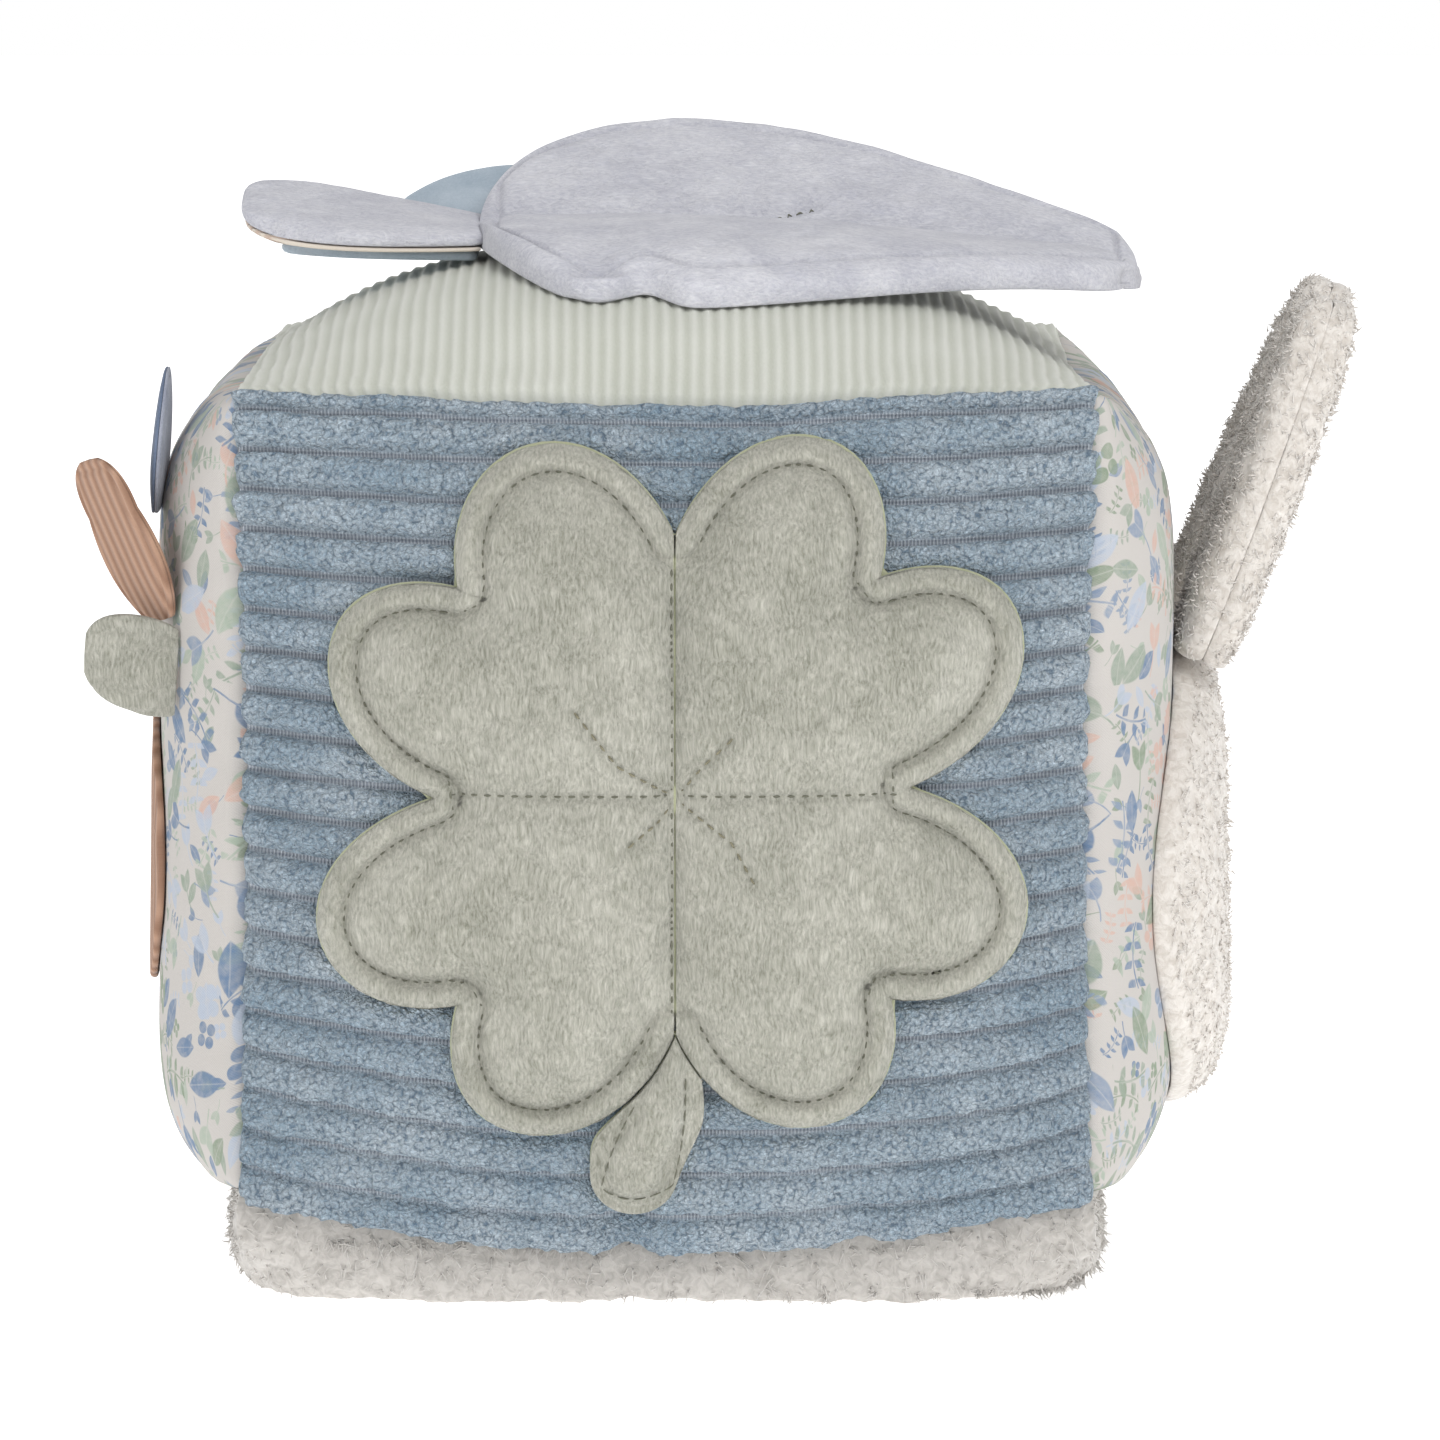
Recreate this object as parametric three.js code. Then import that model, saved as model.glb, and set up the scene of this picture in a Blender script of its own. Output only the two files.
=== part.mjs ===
// Soft fabric block for a baby: a stuffed cube of six cloth panels with soft flaps sewn on its faces.
// Millimetres, +Z up. The clover faces -Y, +X is the viewer's right, and the origin is the middle of
// the face that the block rests on.

import * as THREE from 'three';

// Stuffed cube
const seamSpan = 150; // seam to seam, across and front to back
const seamHeight = 142; // bottom seam corner to top seam corner
const cornerLift = 19.5; // floor to the bottom seam corners
const sideCrown = 17; // how far the filling pushes each side face out
const frontCrown = 15;
const backCrown = 16;
const topCrown = 19;
const bottomCrown = 24; // pressed flat again where the block rests
const bottomBow = 4.5; // bottom side seams pushed out between their corners
const bowFade = 6; // power with which that fades upwards
const waistDraw = 1.5; // upright seams drawn in at half height
const bottomSag = 10; // bottom seams hang down between their corners
const topSag = 3; // top seams dip between their corners
const rightSag = 2.5; // the right-hand top seam dips this much more
const backSag = 4.5; // the back of the top lies this much lower
const sideRoundAcross = 4; // powers of the crowns, higher is boxier
const sideRoundUp = 7;
const frontRound = 3;
const topRound = 3;
const bottomRound = 8;

// Cloth
const clothThickness = 1.5; // cotton, cord and velvet with their backing
const pileHeight = 3.5; // teddy fleece stands this far proud of the seams
const pressedShare = 0.8; // fleece thickness left under the block's weight
const layerGap = 0.35; // between any two cloth layers
const coreGap = 0.6; // filling under the panels
const seamGap = 0.25; // half the gap across a seam
const foldGap = 0.5; // from a fold to the padded half on each side of it
const coverThickness = 0.9; // velvet over padding
const backingThickness = 0.8;
const padSlope = 11; // run over which padding rises from a rim or fold
const edgeShare = 0.75; // thickness left at the edge of a flat sewn sheet

// Wide-wale corduroy of the front
const waleCount = 20;
const waleHeight = 1.5;
const waleTopShare = 0.5; // flat top of a wale, as a share of its pitch

// Clover: four leaves of two round lobes each
const cloverX = 1.8;
const cloverLift = 93; // height of its middle over the floor
const stemNotchReach = 41.2; // middle to the notch over the stem
// Notches and lobes in turn: degrees round from the right, and reach from the middle
const rightLeaves = [[-90, stemNotchReach], [-62.7, 63.4], [-43.8, 51], [-23.7, 64.5], [1.9, 39.8],
  [28.9, 65.6], [47.1, 51], [65.1, 65.2], [90, 44.5]];
const leftLeaves = [[90, 44.5], [115.2, 64], [135.9, 51], [153.4, 64], [180.6, 41],
  [204.8, 66.2], [224.4, 52], [241.6, 65.4], [270, stemNotchReach]];
const cloverSeat = 1.3; // clover's backing over the wales
const cloverPadding = 4.2;
const quiltShare = 0.4; // padding left under the stitched line across the clover

// Clover stem
const stemLeftAngle = 261; // where its sides leave the clover's rim
const stemRightAngle = 275;
const stemGap = 1.6; // between its sides and the clover's rim
const stemLength = 33; // notch to the end of the stem
const stemHalfWidth = 7.6;
const stemLean = 7.1; // how far its end lies to the left
const stemPadding = 2.6;

// Padded bird on the top
const birdLength = 119;
const birdTailX = -34; // where its body ends on the left
const birdBackDepth = 35;
const birdFrontDepth = 51;
const birdTipBack = 15; // half widths of the blunt tip
const birdTipFront = 15;
const birdTipDroop = 6.5;
const birdBackRise = 24; // degrees that the back half stands up
const birdPadding = 4.4;
const birdWidestShare = 0.286; // how far along its body is widest
const birdPlumpShare = 0.85; // power that keeps the front half full

// Tail flaps and wing flap of the bird
const tailLength = 41;
const tailHalfWidth = 17;
const tailTaperShare = 0.35; // width lost towards its end
const tailCornerShare = 0.14; // length lost at its corners
const tailRise = 6.5;
const tailTilt = 8; // its end's back edge stands up by this angle
const tailCoverThickness = 2;
const liningThickness = 0.8;
const underTailLength = 34;
const underTailHalfWidth = 14;
const underTailRise = 0.5;
const underTailThickness = 1.6;
const wingRootX = -23; // sewn under the back half here
const wingY = 24;
const wingLength = 26;
const wingHalfWidth = 6.5;
const wingThickness = 2;
const wingDrop = 0.8; // under the back half
const wingTilt = 22;
const wingSag = 0.7; // how far its end hangs
const wingCornerShare = 0.5; // length and width lost at its corners

// Left face
const patchRadius = 24;
const patchY = -21;
const patchLift = 73;
const leafLayer = 1.1;
const leafSeamShare = 0.45; // thickness left where a leaf is sewn on
const leafSwell = 0.8; // under 1 puts its widest place nearer the root
// Leaves: root and tip are shares of the width, lean is from upright, twist is about the length
const blueLeaf = {
  length: 25, halfWidth: 11, root: 0.45, tip: 0.5, y: -42, lift: 136, seat: 0.8, lean: -5, twist: 0,
};
const peachLeaf = {
  length: 30, halfWidth: 10, root: 0.45, tip: 0.75, y: -52, lift: 118, seat: 1.4, lean: 24, twist: 32,
};
const sageLeaf = {
  length: 16, halfWidth: 9, root: 0.85, tip: 0.75, y: -56, lift: 109, seat: 0.35, lean: 86, twist: 84,
};

// Right face
const headHalfWidth = 55;
const headHalfHeight = 43;
const headLift = 66;
const headPadding = 4.4;
const headRings = [0, 0.3, 0.55, 0.75, 0.9, 0.97, 1]; // shares of its outline
const fleeceThickness = 4.6;
const earLength = 67;
const earHalfWidth = 13;
const earHalfThickness = 7.4;
const earRootShare = 0.55; // thickness left where the ear is sewn on
const earNeckShare = 0.62; // width left there
const earTipShare = 0.45; // width and thickness left at the tip
const earEdgeShare = 0.5; // thickness left along its sides
const earSwell = 0.75;
const earSeat = 4.6; // its root's middle off the face
const earLift = 2; // and over the head's edge
const earSpread = 22; // each ear's distance from the middle of the face
const nearEarLean = 20;
const farEarLean = 23;

// Grid steps
const panelSteps = 10;
const lobeSteps = 3;
const padRings = 5;
const birdSteps = 16;
const flapRows = 7;
const flapColumns = 6;
const patchRings = 3;
const roundSteps = 24;

const halfSpan = seamSpan / 2;
const halfHeight = seamHeight / 2;
const midLift = cornerLift + halfHeight;
const domeTop = blockPoint(0, 0, 1, 0).z;
const tailSeat = blockPoint(birdTailX / halfSpan, 0, 1, 0).z; // dome under the tail's root
const layeredBase = backingThickness + layerGap + coverThickness;
const paddingBed = backingThickness + layerGap;

const velvetBlue = cloth('#a9bbc8', 0.9);
const corduroyBlue = cloth('#93aabf', 0.95);
const cordSage = cloth('#d5d9ce', 0.95);
const printCotton = cloth('#efebe8', 0.85);
const teddyWhite = cloth('#e9e5e0', 1);
const plushSage = cloth('#c3c7b8', 0.95);
const sageBacking = cloth('#c2c5a8', 0.9);
const velvetLavender = cloth('#d3d5e0', 0.9);
const stripedLining = cloth('#cfc4b6', 0.9);
const ribPeach = cloth('#d3a88c', 0.9);
const fillingWhite = cloth('#f4f2ee', 1);

function cloth(color, roughness) {
  return new THREE.MeshStandardMaterial({ color, roughness, metalness: 0 });
}

function steps(from, to, count) {
  return Array.from({ length: count + 1 }, (_, i) => from + ((to - from) * i) / count);
}

function radians(degrees) {
  return THREE.MathUtils.degToRad(degrees);
}

// 1 in the middle of a face or sheet, 0 at its edges, flatter in between for a higher power
function bulge(a, power) {
  return 1 - Math.abs(a) ** power;
}

// 1 in the middle of a sheet, falling to a share at its edge or end
function tapered(a, power, left) {
  return Math.sqrt(1 - (1 - left ** 2) * Math.abs(a) ** power);
}

// 0 at a rim or fold, 1 at full padding, with a quarter sine between
function rise(distance, run) {
  return Math.sin((Math.min(Math.max(distance / run, 0), 1) * Math.PI) / 2);
}

// How far the seams dip at cube coordinates (-1 to 1 each way)
function seamDip(x, y, z) {
  const alongSeams = bulge(x, 2) * y ** 2 + bulge(y, 2) * x ** 2;
  const low = ((1 - z) / 2) ** 2;
  const high = ((1 + z) / 2) ** 2;
  const right = ((1 + x) / 2) ** 2;
  const back = ((1 + y) / 2) ** 2;
  const topOnly = rightSag * right * bulge(y, 2) + backSag * back;
  return (bottomSag * low + topSag * high) * alongSeams + high * topOnly;
}

function waistedHalf(z) {
  return halfSpan - waistDraw * bulge(z, 2);
}

// Point of the stuffed cube at cube coordinates, at a depth under the seam skin
function blockPoint(x, y, z, depth) {
  const half = waistedHalf(z) - depth;
  const faceCrown = y < 0 ? frontCrown : backCrown;
  const capCrown = z < 0 ? bottomCrown : topCrown;
  const capRound = z < 0 ? bottomRound : topRound;
  const bow = bottomBow * ((1 - z) / 2) ** bowFade * bulge(y, 2);
  const outX = x * (half + bow + sideCrown * bulge(y, sideRoundAcross) * bulge(z, sideRoundUp));
  const outY = y * (half + faceCrown * bulge(x, frontRound) * bulge(z, frontRound));
  const outZ = z * (halfHeight - depth + capCrown * bulge(x, capRound) * bulge(y, capRound));
  const floor = (depth + pileHeight) * pressedShare;
  return new THREE.Vector3(outX, outY, Math.max(midLift + outZ - seamDip(x, y, z), floor));
}

// Skin of an upright face at a place across it and a height: undoes the dip and the waist step by step
function skinPoint(place, across, lift, depth) {
  let a = across / halfSpan;
  let b = (lift - midLift) / halfHeight;
  for (let i = 0; i < panelSteps; i += 1) {
    a = across / waistedHalf(b);
    b = (lift - midLift + seamDip(...place(a, b))) / halfHeight;
  }
  return blockPoint(...place(a, b), depth);
}

const faceOf = {
  front: (a, b) => [a, -1, b],
  back: (a, b) => [a, 1, b],
  left: (a, b) => [-1, a, b],
  right: (a, b) => [1, a, b],
  top: (a, b) => [a, b, 1],
  bottom: (a, b) => [a, b, -1],
};

// Closed body from loose triangles: merges equal corners, drops empty triangles, turns faces outward
function bodyFrom(triangles) {
  const fine = 1e4;
  const corners = [];
  const index = [];
  const seen = new Map();
  const cornerOf = (p) => {
    const key = [p.x, p.y, p.z].map((value) => Math.round(value * fine)).join();
    if (!seen.has(key)) {
      seen.set(key, corners.length);
      corners.push(p);
    }
    return seen.get(key);
  };
  for (const triangle of triangles) {
    const [a, b, c] = triangle.map(cornerOf);
    if (a !== b && b !== c && c !== a) index.push(a, b, c);
  }
  let volume = 0;
  for (let i = 0; i < index.length; i += 3) {
    const [a, b, c] = [corners[index[i]], corners[index[i + 1]], corners[index[i + 2]]];
    volume += a.dot(new THREE.Vector3().crossVectors(b, c));
  }
  if (volume < 0) index.reverse();
  const geometry = new THREE.BufferGeometry().setFromPoints(corners);
  geometry.setIndex(index);
  geometry.computeVertexNormals();
  return geometry;
}

// How far along a line each of its points is, as shares of its length
function lengthShares(line) {
  const found = [0];
  for (let i = 1; i < line.length; i += 1) found.push(found[i - 1] + line[i].distanceTo(line[i - 1]));
  return found.map((length) => length / found[found.length - 1]);
}

// Triangles between two lines of points, stepping along whichever is behind
function stitch(lineA, lineB) {
  const even = lineA.length === lineB.length;
  const sharesA = even ? lineA.map((_, i) => i) : lengthShares(lineA);
  const sharesB = even ? lineB.map((_, i) => i) : lengthShares(lineB);
  const found = [];
  let i = 0;
  let j = 0;
  while (i + 1 < lineA.length || j + 1 < lineB.length) {
    const atA = i + 1 < lineA.length ? sharesA[i + 1] : Infinity;
    const atB = j + 1 < lineB.length ? sharesB[j + 1] : Infinity;
    if (atA <= atB) {
      found.push([lineA[i], lineB[j], lineA[i + 1]]);
      i += 1;
    } else {
      found.push([lineA[i], lineB[j], lineB[j + 1]]);
      j += 1;
    }
  }
  return found;
}

function turned(triangles) {
  return triangles.map((triangle) => [...triangle].reverse());
}

function gridTriangles(grid) {
  return grid.slice(1).flatMap((row, i) => stitch(grid[i], row));
}

// Closed body between two grids of as many rows, walled round the rim; a loop's first and last rows meet
function between(outer, inner, loop = false) {
  const first = (grid) => grid.map((row) => row[0]);
  const last = (grid) => grid.map((row) => row[row.length - 1]);
  const found = [
    ...gridTriangles(outer),
    ...turned(gridTriangles(inner)),
    ...stitch(first(outer), first(inner)),
    ...stitch(last(inner), last(outer)),
  ];
  if (!loop) {
    found.push(...stitch(inner[0], outer[0]));
    found.push(...stitch(outer[outer.length - 1], inner[inner.length - 1]));
  }
  return bodyFrom(found);
}

// Points of a grid of two parameters, at a height over it
function sheet(place, us, vs, height) {
  return us.map((u) => vs.map((v) => place(u, v, height(u, v))));
}

// Layer of cloth or padding between two heights over a grid
function layer(place, us, vs, low, high, loop = false) {
  return between(sheet(place, us, vs, high), sheet(place, us, vs, low), loop);
}

function flat(height) {
  return () => height;
}

function piece(name, material, geometry) {
  const mesh = new THREE.Mesh(geometry, material);
  mesh.name = name;
  return mesh;
}

// Group whose origin is a hinge, holding pieces that were made in the block's own frame
function hinged(hinge, pieces) {
  const group = new THREE.Group();
  group.position.copy(hinge);
  for (const mesh of pieces) {
    mesh.geometry.translate(-hinge.x, -hinge.y, -hinge.z);
    group.add(mesh);
  }
  return group;
}

// Cube panels: each a sheet between two depths, mitred at its seams
const seamEdge = 1 - seamGap / halfSpan;
const towardSeams = (t) => Math.sin((Math.PI / 2) * t); // closer together beside the seams
const seamToSeam = steps(-1, 1, panelSteps).map((t) => seamEdge * towardSeams(t));

function panel(name, material, face, rows, outerDepth) {
  const place = (a, b, depth) => blockPoint(...faceOf[face](a, b), depth);
  const outside = sheet(place, seamToSeam, rows, outerDepth);
  const inside = sheet(place, seamToSeam, seamToSeam, flat(clothThickness));
  return piece(name, material, between(outside, inside));
}

function plainPanel(name, material, face) {
  return panel(name, material, face, seamToSeam, flat(0));
}

// Rows of the corduroy: a valley and the two shoulders of each wale
function frontPanel() {
  const pitch = (2 * seamEdge) / waleCount;
  const wales = steps(0, waleCount - 1, waleCount - 1).flatMap((i) => {
    const valley = -seamEdge + i * pitch;
    return [valley, valley + (pitch * (1 - waleTopShare)) / 2, valley + (pitch * (1 + waleTopShare)) / 2];
  });
  const rows = [...wales, seamEdge];
  const valleys = rows.filter((_, i) => i % 3 === 0);
  const waleDepth = (a, b) => (valleys.includes(b) ? 0 : -waleHeight);
  return panel('front_panel', corduroyBlue, 'front', rows, waleDepth);
}

function fillingCore() {
  const mirrored = ['back', 'left', 'bottom'];
  const grid = steps(-1, 1, panelSteps).map(towardSeams);
  const place = (cube) => (a, b, depth) => blockPoint(...cube(a, b), depth);
  const found = Object.entries(faceOf).flatMap(([face, cube]) => {
    const skin = gridTriangles(sheet(place(cube), grid, grid, flat(clothThickness + coreGap)));
    return mirrored.includes(face) ? turned(skin) : skin;
  });
  return piece('filling_core', fillingWhite, bodyFrom(found));
}

// Clover rim: from a lobe to a notch its reach falls with the square of the turn
function rimReach(angle) {
  const fullTurn = 360;
  const degrees = THREE.MathUtils.euclideanModulo(THREE.MathUtils.radToDeg(angle) + 90, fullTurn) - 90;
  const leaves = degrees < 90 ? rightLeaves : leftLeaves;
  const i = Math.max(leaves.findIndex(([end]) => end >= degrees), 1);
  const [low, lowReach] = leaves[i - 1];
  const [high, highReach] = leaves[i];
  const share = (degrees - low) / (high - low);
  const fromLobe = lowReach > highReach ? share : 1 - share;
  return Math.max(lowReach, highReach) - Math.abs(highReach - lowReach) * fromLobe ** 2;
}

// Angles of the rim's points over one side's half turn
function rimAngles(leaves) {
  const ends = leaves.map(([degrees]) => degrees);
  const between = ends.slice(1).flatMap((high, i) => steps(ends[i], high, lobeSteps).slice(1));
  return [ends[0], ...between].map(radians);
}

// Point in front of the corduroy, from the clover's middle, at a height over the wales
function onFront(right, up, height) {
  const x = cloverX + right;
  const z = cloverLift + up;
  const skin = skinPoint(faceOf.front, x, z, -waleHeight);
  return new THREE.Vector3(x, skin.y - cloverSeat - height, z);
}

function cloverPuff(angle, share) {
  const out = share * rimReach(angle);
  const overQuilt = quiltShare + (1 - quiltShare) * rise(out * Math.abs(Math.sin(angle)), padSlope);
  const overFold = rise(out * Math.abs(Math.cos(angle)), padSlope);
  return cloverPadding * overQuilt * overFold * rise(rimReach(angle) - out, padSlope);
}

// Cover, wadding and backing of a padded half on one grid; the wadding leaves out the grid's rim
function paddedLayers(name, materials, place, us, vs, puff) {
  const coverTop = (u, v) => layeredBase + puff(u, v);
  const coverUnder = (u, v) => paddingBed + puff(u, v);
  const wadTop = (u, v) => paddingBed + Math.max(puff(u, v) - layerGap, layerGap / 2);
  const innerUs = us.slice(2, -2);
  const innerVs = vs.slice(1, -1);
  return [
    piece(name + '_cover', materials[0], layer(place, us, vs, coverUnder, coverTop)),
    piece(name + '_wadding', fillingWhite, layer(place, innerUs, innerVs, flat(paddingBed), wadTop)),
    piece(name + '_backing', materials[1], layer(place, us, vs, flat(0), flat(backingThickness))),
  ];
}

// One half of the clover, left of the fold (side -1) or right of it (side 1)
function cloverHalf(name, side) {
  const angles = rimAngles(side < 0 ? leftLeaves : rightLeaves);
  const place = (angle, share, height) => {
    const out = share * rimReach(angle);
    const right = side * Math.max(Math.abs(out * Math.cos(angle)), foldGap);
    return onFront(right, out * Math.sin(angle), height);
  };
  const shares = steps(0, 1, padRings);
  const cloths = [plushSage, sageBacking];
  return hinged(onFront(0, 0, layeredBase), paddedLayers(name, cloths, place, angles, shares, cloverPuff));
}

// Stem: from the clover's notch to a round end, hanging a little to the left
function cloverStem() {
  const fromNotch = (t) => {
    const angle = radians(stemLeftAngle + (stemRightAngle - stemLeftAngle) * t);
    const out = rimReach(angle) + stemGap;
    return new THREE.Vector2(out * Math.cos(angle), out * Math.sin(angle));
  };
  const roundEnd = (t) => {
    const turn = Math.PI * (1 + t);
    const lift = stemHalfWidth - stemNotchReach - stemLength;
    return new THREE.Vector2(stemHalfWidth * Math.cos(turn) - stemLean, lift + stemHalfWidth * Math.sin(turn));
  };
  const place = (t, share, height) => {
    const at = fromNotch(t).lerp(roundEnd(t), share);
    return onFront(at.x, at.y, height);
  };
  const puff = (t, share) => {
    const fromSide = Math.min(t, 1 - t) * 2 * stemHalfWidth;
    const fromEnds = rise(share * stemLength, padSlope) * rise((1 - share) * stemLength, stemHalfWidth);
    return stemPadding * rise(fromSide, stemHalfWidth) * fromEnds;
  };
  const top = (t, share) => layeredBase + puff(t, share);
  const across = steps(0, 1, 2 * padRings);
  const along = steps(0, 1, padRings);
  const straightDown = 270;
  const middle = fromNotch((straightDown - stemLeftAngle) / (stemRightAngle - stemLeftAngle));
  return hinged(onFront(middle.x, middle.y, layeredBase), [
    piece('clover_stem_cover', plushSage, layer(place, across, along, flat(paddingBed), top)),
    piece('clover_stem_backing', sageBacking, layer(place, across, along, flat(0), flat(backingThickness))),
  ]);
}

// Half width of the bird's body, from its round end (0) to its blunt tip (1)
function birdDepth(along, side) {
  const full = Math.sin(Math.PI * along ** (Math.log(0.5) / Math.log(birdWidestShare)));
  if (side > 0) return birdBackDepth * full + birdTipBack * along ** 2;
  return birdFrontDepth * full ** birdPlumpShare + birdTipFront * along ** 2;
}

// Bed of the bird: level with the dome's top along its middle, down the dome in front, up at the back
function birdBed(x, y) {
  const droop = birdTipDroop * (Math.max(x, 0) / (birdLength + birdTailX)) ** 2;
  if (y > 0) return domeTop + layerGap - droop + y * Math.tan(radians(birdBackRise));
  return blockPoint(0, y / halfSpan, 1, 0).z + layerGap - droop;
}

function birdPoint(x, y, height) {
  return new THREE.Vector3(x, y, birdBed(x, y) + height);
}

// Front half (side -1) or back half (side 1) of the bird's padded body
function birdHalf(name, side) {
  const alongs = steps(0, 1, birdSteps).map((t) => (1 - Math.cos(Math.PI * t)) / 2);
  const rim = (along) => birdDepth(along, side) + 2 * foldGap;
  const place = (along, share, height) => {
    const y = side * Math.max(rim(along) * share, foldGap);
    return birdPoint(birdTailX + birdLength * along, y, height);
  };
  const puff = (along, share) => {
    const fromEnd = Math.min(along, 1 - along) * birdLength;
    const out = rim(along) * share;
    return birdPadding * rise(fromEnd, padSlope) * rise(out, padSlope) * rise(rim(along) - out, padSlope);
  };
  const cloths = [velvetLavender, velvetLavender];
  const shares = steps(0, 1, padRings);
  return hinged(birdPoint(0, 0, layeredBase), paddedLayers(name, cloths, place, alongs, shares, puff));
}

// Tail flaps: strips that leave the bird's round end to the left, curving up, with rounded corners
function tailStrip(length, halfWidth, lift, endRise, tilt) {
  const rootX = birdTailX - 2 * layerGap;
  return (along, across, height) => {
    const x = rootX - length * along * (1 - tailCornerShare * across ** 4);
    const y = halfWidth * across * (1 - tailTaperShare * along ** 4);
    const curve = endRise * ((rootX - x) / length) ** 1.5;
    const backEdge = (y + halfWidth) * Math.tan(radians(tilt)) * along ** 0.7;
    return new THREE.Vector3(x, y, tailSeat + lift + curve + backEdge + height);
  };
}

function strip(place, low, high) {
  return layer(place, steps(0, 1, flapRows), steps(-1, 1, flapColumns), low, high);
}

function tail() {
  const place = tailStrip(tailLength, tailHalfWidth, underTailThickness + 2 * layerGap, tailRise, tailTilt);
  const coverLow = liningThickness + layerGap;
  const coverTop = (along, across) => coverLow + tailCoverThickness * tapered(across, 4, edgeShare);
  return hinged(place(0, 0, coverLow + tailCoverThickness / 2), [
    piece('tail_cover', velvetLavender, strip(place, flat(coverLow), coverTop)),
    piece('tail_lining', stripedLining, strip(place, flat(0), flat(liningThickness))),
  ]);
}

function underTail() {
  const place = tailStrip(underTailLength, underTailHalfWidth, layerGap, underTailRise, 0);
  const body = strip(place, flat(0), flat(underTailThickness));
  return hinged(place(0, 0, underTailThickness / 2), [piece('under_tail_flap', velvetBlue, body)]);
}

// Rounded wing flap that comes out from under the back half to the left
function wing() {
  const place = (along, across, height) => {
    const x = wingRootX - wingLength * along * (1 - wingCornerShare * across ** 4);
    const y = wingY + wingHalfWidth * across * (1 - wingCornerShare * along ** 4);
    const bed = birdBed(wingRootX, wingY) + (y - wingY) * Math.tan(radians(wingTilt));
    const sag = wingSag * ((wingRootX - x) / wingLength) ** 2;
    return new THREE.Vector3(x, y, bed - wingThickness - wingDrop - sag + height);
  };
  const top = (along, across) => wingThickness * tapered(across, 4, edgeShare);
  return hinged(place(0, 0, wingThickness / 2), [piece('wing_flap', velvetBlue, strip(place, flat(0), top))]);
}

// Point off a side face (side -1 left, 1 right) at a height over its skin
function offSide(side, y, z, height) {
  const skin = skinPoint(side < 0 ? faceOf.left : faceOf.right, y, z, 0);
  return new THREE.Vector3(skin.x + side * (layerGap + height), y, z);
}

// Round peach patch sewn flat on the left face
function patch() {
  const place = (angle, share, height) => {
    const out = patchRadius * share;
    return offSide(-1, patchY + out * Math.cos(angle), patchLift + out * Math.sin(angle), height);
  };
  const top = (angle, share) => clothThickness * tapered(share, 4, edgeShare);
  const around = steps(0, 2 * Math.PI, roundSteps);
  return piece('peach_patch', ribPeach, layer(place, around, steps(0, 1, patchRings), flat(0), top, true));
}

// Two-layer leaf that stands out of the left face, leaning from upright and twisted about its length
function leafFlap(name, leaf, material) {
  const place = (along, across, height) => {
    const fullness = leaf.root + (1 - leaf.root) * Math.sin(Math.PI * along ** leafSwell);
    const width = leaf.halfWidth * fullness * tapered(along, 6, leaf.tip);
    return new THREE.Vector3(height, width * across, leaf.length * along);
  };
  const half = layerGap / 2;
  const reach = (along) => {
    const fromRoot = leafSeamShare + (1 - leafSeamShare) * rise(along * leaf.length, leaf.halfWidth);
    return half + leafLayer * fromRoot;
  };
  const group = new THREE.Group();
  group.position.copy(offSide(-1, leaf.y, leaf.lift, leaf.seat));
  group.rotation.set(0, -radians(leaf.lean), radians(leaf.twist), 'YZX');
  group.add(
    piece(name + '_outer', material, strip(place, (along) => -reach(along), flat(-half))),
    piece(name + '_inner', material, strip(place, flat(half), reach)),
  );
  return group;
}

// Wide round teddy head sewn on the right face
function teddyHead() {
  const place = (angle, share, height) => {
    const out = [headHalfWidth * share * Math.cos(angle), headHalfHeight * share * Math.sin(angle)];
    return offSide(1, out[0], headLift + out[1], height);
  };
  const around = steps(0, 2 * Math.PI, roundSteps);
  const wad = (angle, share) => headPadding * bulge(share, 4);
  const under = (angle, share) => (share < 1 ? wad(angle, share) + layerGap : 0);
  const top = (angle, share) => {
    return wad(angle, share) + layerGap + fleeceThickness * tapered(share, 8, earEdgeShare);
  };
  return [
    piece('head_wadding', fillingWhite, layer(place, around, headRings.slice(0, -2), flat(0), wad, true)),
    piece('head_cover', teddyWhite, layer(place, around, headRings, under, top, true)),
  ];
}

// Thick two-layer ear that stands up from the head and leans out
function ear(name, y, lean) {
  const thickness = (along, across) => {
    const fromRoot = earRootShare + (1 - earRootShare) * rise(along * earLength, padSlope);
    return earHalfThickness * fromRoot * tapered(across, 4, earEdgeShare) * tapered(along, 8, earTipShare);
  };
  const place = (along, across, height) => {
    const fullness = earNeckShare + (1 - earNeckShare) * Math.sin(Math.PI * along ** earSwell);
    const width = earHalfWidth * fullness * tapered(along, 6, earTipShare);
    return new THREE.Vector3(height, width * across, earLength * along);
  };
  const half = layerGap / 2;
  const headTop = headLift + headHalfHeight * Math.sqrt(1 - (y / headHalfWidth) ** 2);
  const group = new THREE.Group();
  group.position.copy(offSide(1, y, headTop + earLift, earSeat));
  group.rotation.y = radians(lean);
  const under = (along, across) => -thickness(along, across);
  group.add(
    piece(name + '_outer', teddyWhite, strip(place, flat(half), thickness)),
    piece(name + '_inner', teddyWhite, strip(place, under, flat(-half))),
  );
  return group;
}

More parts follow.
